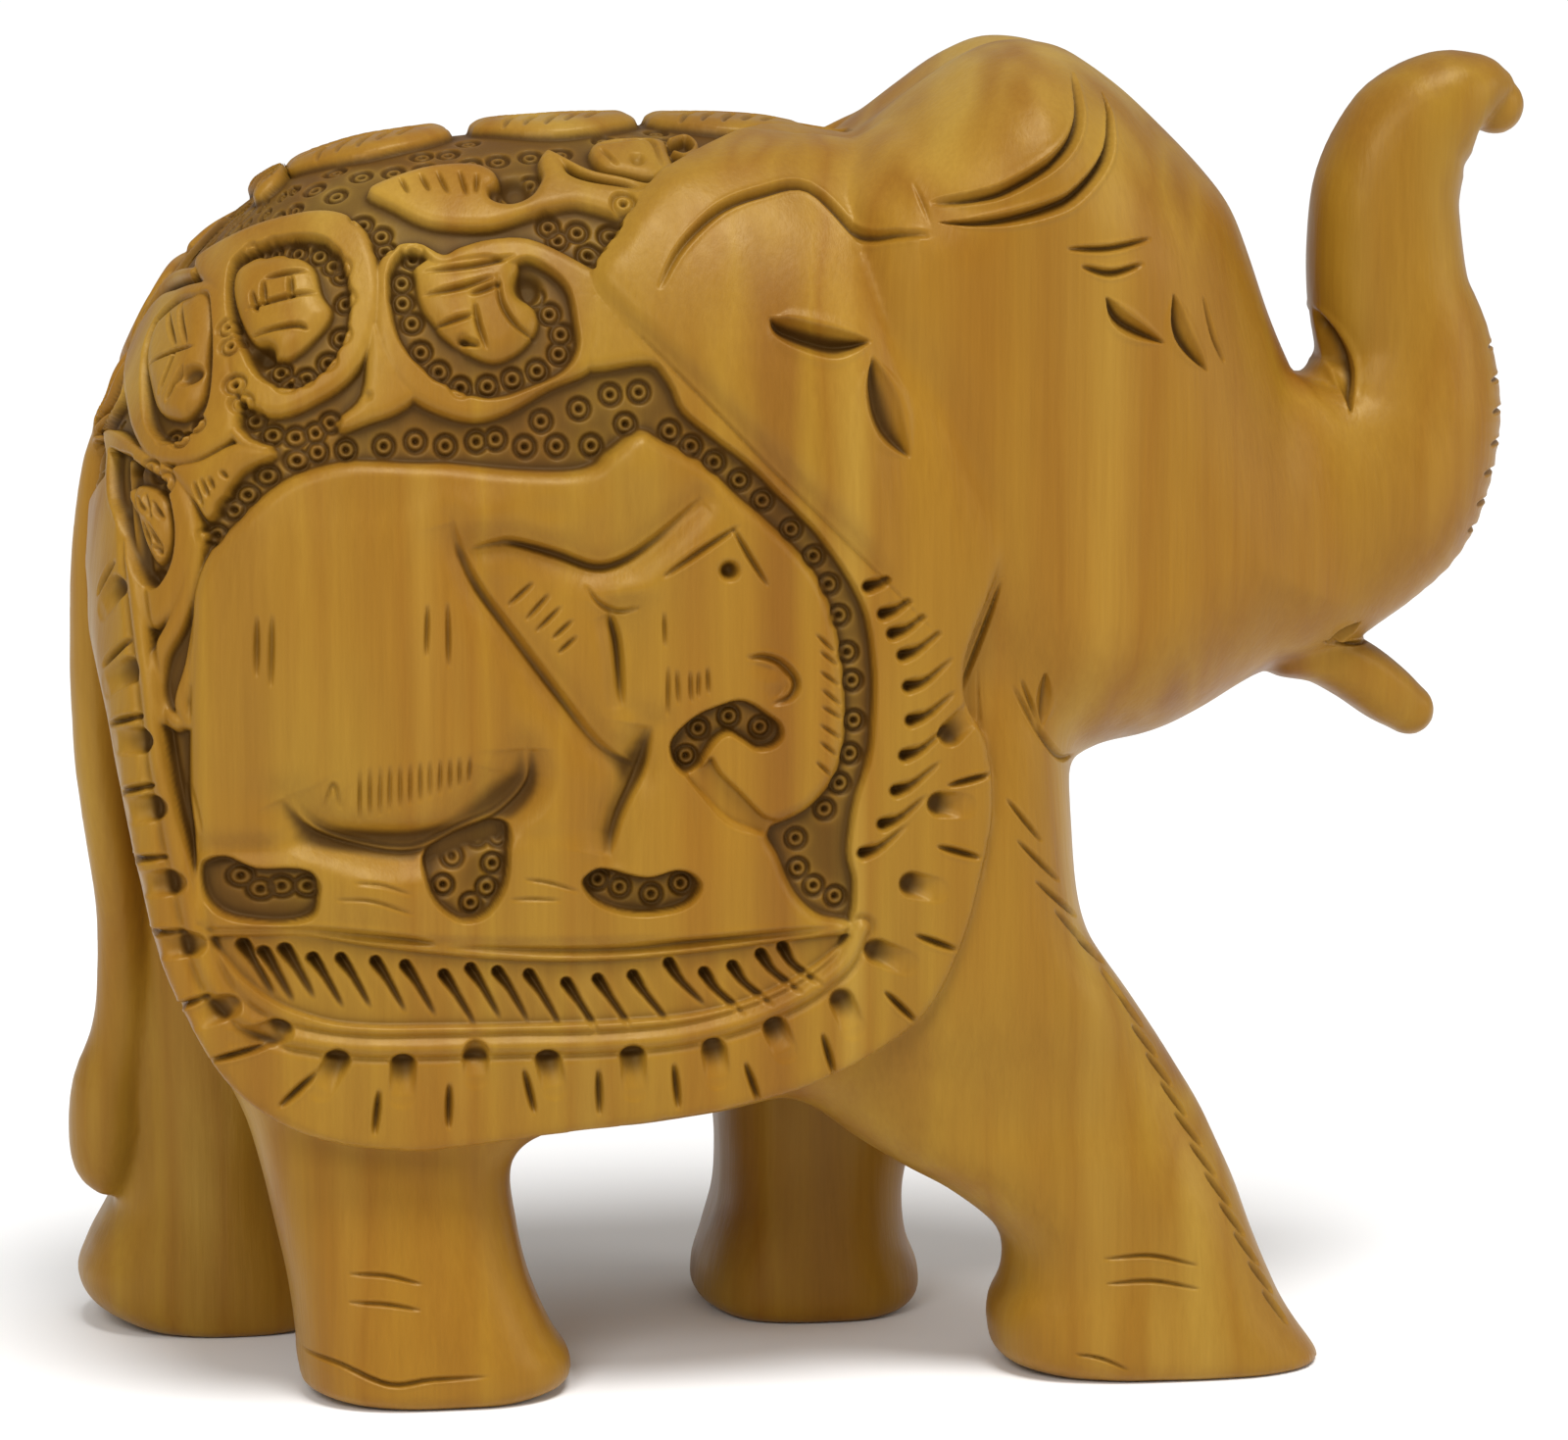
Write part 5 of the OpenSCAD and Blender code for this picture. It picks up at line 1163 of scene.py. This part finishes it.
def chart_place(p):
    """Side chart place of each point, and the direction the chart faces there."""
    y = np.maximum(np.abs(p[:, 1]), 0.01)
    rise = np.where(p[:, 2] > WRAP_TOP[0], np.arctan2(p[:, 2] - WRAP_TOP[0], y), 0)
    turn = np.where(p[:, 0] < WRAP_REAR[0], np.arctan2(WRAP_REAR[0] - p[:, 0], y), 0)
    u = np.where(turn > 0, WRAP_REAR[0] - WRAP_REAR[1] * turn, p[:, 0])
    v = np.where(rise > 0, WRAP_TOP[0] + WRAP_TOP[1] * rise, p[:, 2])
    out = np.stack([-np.sin(turn) * np.cos(rise), np.cos(turn) * np.cos(rise) * np.sign(p[:, 1]),
        np.sin(rise)], axis=1)
    return u, v, out


def hollows(chart):
    """How deep each place lies under its surroundings, for the colour darkened in the cuts and deep ground:
    partly the wood's real staining there, partly painted shade.
    """
    wide = soften(chart.h, 36)
    near = soften(chart.h, 5)
    deep = 1.5 * (wide - chart.h) + 1.0 * (near - chart.h) + 1.05 * np.clip(-chart.h - 0.6, 0, 1)
    # painted shade mixed with real staining, strongest in narrow cuts and on the deep ground
    chart.dark = smooth((deep - 0.12) / 1.25).astype(np.float32)


def unevenness(p):
    """The slight waves a blade leaves on a smoothed surface."""
    x, y, z = p.T
    across = np.sin(0.55 * x + 0.21 * z + 1.3 * np.sin(0.17 * z + 0.4 * y))
    return 0.05 * across * np.sin(0.31 * z - 0.23 * y + 0.8 * np.sin(0.29 * x))


def carve():
    solid, owner = build_solid()
    points, quads = mesh_solid(solid)
    edges, side = edges_of(quads)
    n = len(points)
    points = relax(points, edges, n, 2, 0.5)
    normals = normals_of(points, quads)
    own = sample(owner, points - 0.25 * normals)
    cover = np.isin(own, [OWNERS.index("ear"), OWNERS.index("cloth")]).astype(float)
    cover = relax(cover[:, None], edges, n, 2)
    chart, area = side_chart()
    rights = plain_chart(HEAD_CUTS)
    lefts = plain_chart([row for row in HEAD_CUTS if row[2][0][1] > 30] + FAR_LEG_CUTS)
    for c in (chart, rights, lefts):
        hollows(c)

    def plain(values, p):
        """Samples the plain charts, each on its own side."""
        u, v = p[:, 0], p[:, 2]
        a = Chart.at(values[0], u, v)
        return np.where(p[:, 1] < 0, a, Chart.at(values[1], u, v))

    def heights(p, nrm, cov):
        u, v, out = chart_place(p)
        face = smooth(((nrm * out).sum(1) - 0.15) / 0.35)
        side_face = np.maximum(smooth((nrm[:, 1] * np.sign(p[:, 1]) - 0.06) / 0.2),
            smooth((p[:, 0] - 69) / 3))
        a = chart.at(u, v)
        b = plain((rights, lefts), p)
        return a, b, face * cov, side_face * (1 - cov), u, v

    a, b, wa, wb, u, v = heights(points, normals, cover[:, 0])
    busy = (np.abs(a) > 0.02) & (wa > 0.02) | (np.abs(b) > 0.02) & (wb > 0.02)
    busy = relax(busy.astype(float)[:, None], edges, n, 2)[:, 0] > 0.02
    fine = busy[quads].any(axis=1)
    points, normals, cover, quads, many = refine(points, normals, cover, quads, edges, side, fine, FINE)
    a, b, wa, wb, u, v = heights(points, normals, cover[:, 0])
    # the charts' heights swapped for their painted shade and staining, sampled at every point
    for c in (chart, rights, lefts):
        c.h, c.dark = c.dark, c.h
    da, db, *_ = heights(points, normals, cover[:, 0])
    for c in (chart, rights, lefts):
        c.h, c.dark = c.dark, c.h
    dark = da * wa + db * wb
    lift = a * wa + b * wb + unevenness(points)
    inward = -normals
    points = points + normals * lift[:, None]
    points[:, 2] = np.maximum(points[:, 2], 0)
    return points, inward, quads, many, dark, owner, u, v, area, chart


def label(owner, area, chart, faces_mid, faces_u, faces_v):
    """Number of the node each face belongs to."""
    names = sorted(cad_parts)
    own = sample(owner, faces_mid)
    left = faces_mid[:, 1] > 0
    at = np.full(len(faces_mid), names.index("body"))

    def both(mask, name):
        at[mask & left] = names.index(name + "_left")
        at[mask & ~left] = names.index(name + "_right")

    leg = own == OWNERS.index("leg")
    front = faces_mid[:, 0] > np.where(left, -30, -18)
    both(leg & front, "front_leg")
    both(leg & ~front, "rear_leg")
    for name in ("head", "trunk", "lower_jaw", "tail"):
        at[own == OWNERS.index(name)] = names.index(name)
    both(own == OWNERS.index("ear"), "ear")
    cloth = own == OWNERS.index("cloth")
    at[cloth] = names.index("cloth")
    i = np.clip(((faces_u - chart.u[0]) / RES).astype(int), 0, chart.u.size - 1)
    j = np.clip(((faces_v - chart.v[0]) / RES).astype(int), 0, chart.v.size - 1)
    both(cloth & area["border"][i, j], "border")
    both(cloth & area["leaf_band"][i, j], "leaf_band")
    for name, shapes in (("medallion_rump", ("out0",)), ("medallion_rear", ("out1",)),
        ("medallion_middle", ("out2",)), ("medallion_front", ("out3", "corner3"))):
        for shape in shapes:
            both(cloth & area[shape][i, j], name)
    vine = area["vine"] | area["leaftop"] | area["eye"] | area["leaf23"]
    at[cloth & (vine[i, j] | (faces_v > 135.5))] = names.index("back_vine")
    both(cloth & area["figure"][i, j], "figure")
    return names, at


SKIRT = {"tail": 1.0, "lower_jaw": 1.5}  # mm that a piece reaches into the block behind its rim


def piece(name, node, points, normals, inward, dark, quads, many, material):
    """One closed piece of wood: its carved face, and a blind back inside the block."""
    sizes = [len(m) for m in many]
    loops = np.concatenate([quads.ravel(), np.array([v for m in many for v in m], np.int64)])
    starts = np.concatenate([4 * np.arange(len(quads)),
        4 * len(quads) + np.cumsum([0] + sizes[:-1])]) if many else 4 * np.arange(len(quads))
    ends = np.concatenate([starts[1:], [len(loops)]]).astype(int)
    nxt = np.arange(1, len(loops) + 1)
    nxt[ends - 1] = starts
    a, b = loops, loops[nxt]
    key = np.minimum(a, b) * (1 << 32) + np.maximum(a, b)
    _, back, count = np.unique(key, return_inverse=True, return_counts=True)
    rim = count[back] == 1
    ra, rb = a[rim], b[rim]
    used, flat = np.unique(loops, return_inverse=True)
    co, no, dk, into = points[used], normals[used], dark[used], inward[used]
    extra_co, extra_no, tris = [], [], np.zeros((0, 3), np.int64)
    skirt = []
    if len(ra):
        ia, ib = np.searchsorted(used, ra), np.searchsorted(used, rb)
        edge, back = np.unique(np.concatenate([ia, ib]), return_inverse=True)
        ja, jb = len(used) + back[: len(ia)], len(used) + back[len(ia) :]
        deep = co[edge] + into[edge] * SKIRT.get(node, 3.0)
        skirt = [np.stack([ib, ia, ja, jb], axis=1)]
        extra_co, extra_no = list(deep), list(no[edge])
        group = np.full(len(used), -1)
        group[ia] = ia
        while True:  # spread the lowest number along each rim
            low = np.minimum(group[ia], group[ib])
            before = group.copy()
            np.minimum.at(group, ia, low)
            np.minimum.at(group, ib, low)
            group[ia] = group[group[ia]]
            if (group == before).all():
                break
        ids, which = np.unique(group[ia], return_inverse=True)
        first = len(used) + len(edge)
        for k in range(len(ids)):
            mine = ia[which == k]
            m = -into[mine].mean(0)
            extra_co.append(co[mine].mean(0) - m * (SKIRT.get(node, 3.0) + min(3.0,
                0.3 * np.ptp(co[mine], axis=0).max())))
            extra_no.append(m / max(np.linalg.norm(m), 1e-6))
        tris = np.stack([jb, ja, first + which], axis=1)
    co = np.concatenate([co] + [np.array(extra_co)] * bool(extra_co))
    no = np.concatenate([no] + [np.array(extra_no)] * bool(extra_no))
    dk = np.concatenate([dk, np.zeros(len(extra_co))])
    walls = np.concatenate(skirt) if skirt else np.zeros((0, 4), np.int64)
    loops = np.concatenate([flat, walls.ravel(), tris.ravel()]).astype(np.int32)
    starts = np.concatenate([starts, len(flat) + 4 * np.arange(len(walls)),
        len(flat) + walls.size + 3 * np.arange(len(tris))]).astype(np.int32)
    mesh = bpy.data.meshes.new(name)
    mesh.vertices.add(len(co))
    mesh.vertices.foreach_set("co", (co * MM).astype(np.float32).ravel())
    mesh.loops.add(len(loops))
    mesh.loops.foreach_set("vertex_index", loops)
    mesh.polygons.add(len(starts))
    mesh.polygons.foreach_set("loop_start", starts)
    mesh.update(calc_edges=True)
    mesh.shade_smooth()
    # the cut attribute carries the painted shade and staining of each point to the material
    cut = mesh.attributes.new("cut", "FLOAT", "POINT")
    cut.data.foreach_set("value", dk.astype(np.float32))
    mesh.normals_split_custom_set_from_vertices(no.astype(np.float32))
    mesh.materials.append(material)
    ob = bpy.data.objects.new(name, mesh)
    bpy.context.scene.collection.objects.link(ob)
    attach(ob, "root")
    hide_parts(node)
    return ob


# ---------- materials ----------
class Nodes:
    """Short hand for building a node tree."""

    def __init__(self, material):
        material.use_nodes = True
        self.tree = material.node_tree
        self.bsdf = self.tree.nodes["Principled BSDF"]

    def add(self, kind, **values):
        node = self.tree.nodes.new(kind)
        for key, value in values.items():
            if hasattr(node, key):
                setattr(node, key, value)
            else:
                node.inputs[key].default_value = value
        return node

    def link(self, a, b):
        self.tree.links.new(a, b)

    def stretch(self, scale):
        """Object coordinates scaled along each axis."""
        if not hasattr(self, "place"):
            self.place = self.add("ShaderNodeTexCoord")
        node = self.add("ShaderNodeMapping")
        node.inputs["Scale"].default_value = scale
        self.link(self.place.outputs["Object"], node.inputs["Vector"])
        return node.outputs["Vector"]

    def noise(self, scale, detail=2.0, rough=0.5, distortion=0.0):
        node = self.add("ShaderNodeTexNoise", Scale=1.0, Detail=detail, Roughness=rough,
            Distortion=distortion)
        self.link(self.stretch(scale), node.inputs["Vector"])
        return node.outputs["Fac"]

    def ramp(self, value, stops):
        node = self.add("ShaderNodeValToRGB")
        e = node.color_ramp.elements
        while len(e) < len(stops):
            e.new(0.5)
        for k, (at, colour) in enumerate(stops):
            e[k].position = at
            e[k].color = (*colour, 1)
        self.link(value, node.inputs[0])
        return node.outputs["Color"]

    def mix(self, kind, amount, a, b):
        node = self.add("ShaderNodeMix", data_type="RGBA", blend_type=kind)
        if isinstance(amount, float):
            node.inputs[0].default_value = amount
        else:
            self.link(amount, node.inputs[0])
        for socket, value in ((node.inputs[6], a), (node.inputs[7], b)):
            if isinstance(value, tuple):
                socket.default_value = (*value, 1)
            else:
                self.link(value, socket)
        return node.outputs[2]

    def math(self, op, a, b):
        node = self.add("ShaderNodeMath", operation=op)
        for socket, value in ((node.inputs[0], a), (node.inputs[1], b)):
            if isinstance(value, (int, float)):
                socket.default_value = value
            else:
                self.link(value, socket)
        return node.outputs[0]


BROWN = (0.206, 0.090, 0.010)
TAN = (0.280, 0.148, 0.015)
ORANGE = (0.242, 0.114, 0.011)
PALE = (0.345, 0.205, 0.030)
# colour the cuts and deep ground turn towards: painted shade mixed with real staining
STAIN_AND_SHADE = (0.042, 0.015, 0.001)


def wood():
    """Pale kadam wood: upright grain in broad bands, fine fibres, and cuts darkened by painted shade mixed
    with real staining.
    """
    m = bpy.data.materials.new("wood")
    n = Nodes(m)
    bands = n.noise((95, 60, 3.0), 1.6, 0.5, 0.2)
    tone = n.ramp(bands, [(0.30, BROWN), (0.44, TAN), (0.54, ORANGE), (0.70, PALE)])
    fibres = n.ramp(n.noise((1700, 1700, 60), 3.0, 0.65),
        [(0.25, (0.93, 0.91, 0.86)), (0.75, (1.05, 1.06, 1.08))])
    colour = n.mix("MULTIPLY", 1.0, tone, fibres)
    blush = n.ramp(n.noise((30, 30, 16), 2.0, 0.5), [(0.38, (1.0, 0.88, 0.66)), (0.62, (1.0, 1.0, 1.0))])
    colour = n.mix("MULTIPLY", 0.8, colour, blush)
    # the cut attribute darkens grooves and deep ground: painted shade mixed with real staining
    cut = n.add("ShaderNodeAttribute", attribute_name="cut")
    stain_and_shade_mix = n.math("MULTIPLY", n.math("POWER", cut.outputs["Fac"], 0.75), 0.92)
    colour = n.mix("MIX", stain_and_shade_mix, colour, STAIN_AND_SHADE)
    n.link(colour, n.bsdf.inputs["Base Color"])
    shine = n.math("ADD", n.math("MULTIPLY", n.noise((420, 420, 60), 2.0), 0.22),
        n.math("MULTIPLY", cut.outputs["Fac"], 0.2))
    n.link(n.math("ADD", shine, 0.30), n.bsdf.inputs["Roughness"])
    bump = n.add("ShaderNodeBump", Strength=0.12, Distance=0.0004)
    n.link(n.noise((1700, 1700, 60), 3.0, 0.6), bump.inputs["Height"])
    n.link(bump.outputs["Normal"], n.bsdf.inputs["Normal"])
    n.bsdf.inputs["Specular IOR Level"].default_value = 0.31
    n.bsdf.inputs["Specular Tint"].default_value = (1.0, 0.82, 0.48, 1)
    return m


def stage():
    """A plain pale floor."""
    me = bpy.data.meshes.new("floor")
    s = 14.0
    me.from_pydata([(-s, -s, 0), (s, -s, 0), (s, s, 0), (-s, s, 0)], [], [(0, 1, 2, 3)])
    floor = bpy.data.objects.new("floor", me)
    bpy.context.scene.collection.objects.link(floor)
    m = bpy.data.materials.new("floor")
    m.use_nodes = True
    m.node_tree.nodes["Principled BSDF"].inputs["Base Color"].default_value = (0.93, 0.93, 0.93, 1)
    m.node_tree.nodes["Principled BSDF"].inputs["Roughness"].default_value = 0.9
    me.materials.append(m)


def area_light(name, at, target, size, power):
    light = bpy.data.lights.new(name, "AREA")
    light.size = size
    light.energy = power
    ob = bpy.data.objects.new(name, light)
    ob.location = at
    ob.rotation_euler = (Vector(target) - Vector(at)).to_track_quat("-Z", "Y").to_euler()
    bpy.context.scene.collection.objects.link(ob)


def camera(azimuth, elevation, distance, target):
    a, e = math.radians(azimuth), math.radians(elevation)
    back = Vector((math.sin(a) * math.cos(e), -math.cos(a) * math.cos(e), math.sin(e)))
    cam = bpy.data.cameras.new("camera")
    ob = bpy.data.objects.new("camera", cam)
    ob.location = Vector(target) + back * distance
    ob.rotation_euler = back.to_track_quat("Z", "Y").to_euler()
    bpy.context.scene.collection.objects.link(ob)
    bpy.context.scene.camera = ob
    return cam


def light():
    world = bpy.context.scene.world or bpy.data.worlds.new("world")
    bpy.context.scene.world = world
    world.use_nodes = True
    bpy.context.scene.view_settings.view_transform = "Standard"
    world.node_tree.nodes["Background"].inputs[0].default_value = (1.0, 0.99, 0.97, 1)
    world.node_tree.nodes["Background"].inputs[1].default_value = 0.44
    lamp = bpy.data.lights.new("sky_light", "SUN")
    lamp.energy = 2.5
    lamp.angle = math.radians(24)
    sky = bpy.data.objects.new("sky_light", lamp)
    sky.rotation_euler = Vector((0.08, -0.37, 0.92)).to_track_quat("Z", "Y").to_euler()
    bpy.context.scene.collection.objects.link(sky)
    area_light("key", (-0.35, -0.6, 0.5), (0, 0, 0.07), 0.28, 2.2)
    area_light("rim", (0.75, -0.3, 0.35), (0, 0, 0.07), 0.35, 1.2)


PIECE_QUADS = 90000  # a node with more faces than this is handed out as several pieces


def elephant():
    points, inward, quads, many, dark, owner, u, v, area, chart = carve()
    flat = np.array([[m[0], m[len(m) // 4], m[len(m) // 2], m[3 * len(m) // 4]] for m in many],
        np.int64).reshape(-1, 4)
    normals = normals_of(points, np.concatenate([quads, flat]))
    material = wood()

    def mid(q):
        return points[q].mean(1) - 0.3 * normals[q].mean(1)

    names, at = label(owner, area, chart, mid(quads), u[quads].mean(1), v[quads].mean(1))
    _, at_many = label(owner, area, chart, mid(flat), u[flat].mean(1), v[flat].mean(1))
    for k, node in enumerate(names):
        mine = np.nonzero(at == k)[0]
        other = np.nonzero(at_many == k)[0]
        if not len(mine) + len(other):
            raise RuntimeError("no faces for " + node)
        count = int(np.ceil(len(mine) / PIECE_QUADS)) or 1
        x, y = points[quads[mine]][:, :, 0].mean(1), points[quads[mine]][:, :, 1].mean(1)
        order = np.sign(y) * 1000 + x if count > 1 else x
        marks = np.quantile(order, np.linspace(0, 1, count + 1)) if len(mine) else np.array([0, 0])
        marks[0], marks[-1] = -1e9, 1e9
        if len(other):
            q = flat[other]
            x, y = points[q][:, :, 0].mean(1), points[q][:, :, 1].mean(1)
            other_order = np.sign(y) * 1000 + x if count > 1 else x
        for c in range(count):
            pick = mine[(order >= marks[c]) & (order < marks[c + 1])]
            some = []
            if len(other):
                inside = (other_order >= marks[c]) & (other_order < marks[c + 1])
                some = [many[i] for i in other[inside]]
            name = "wood_" + node + ("_%d" % (c + 1) if count > 1 else "")
            piece(name, node, points, normals, inward, dark, quads[pick], some, material)


elephant()
stage()
cam = camera(-8, 8, 0.68, (0, 0, 0.076))
cam.sensor_width = 36
cam.lens = 143.06
cam.shift_x = -0.0069
cam.shift_y = -0.0434
light()
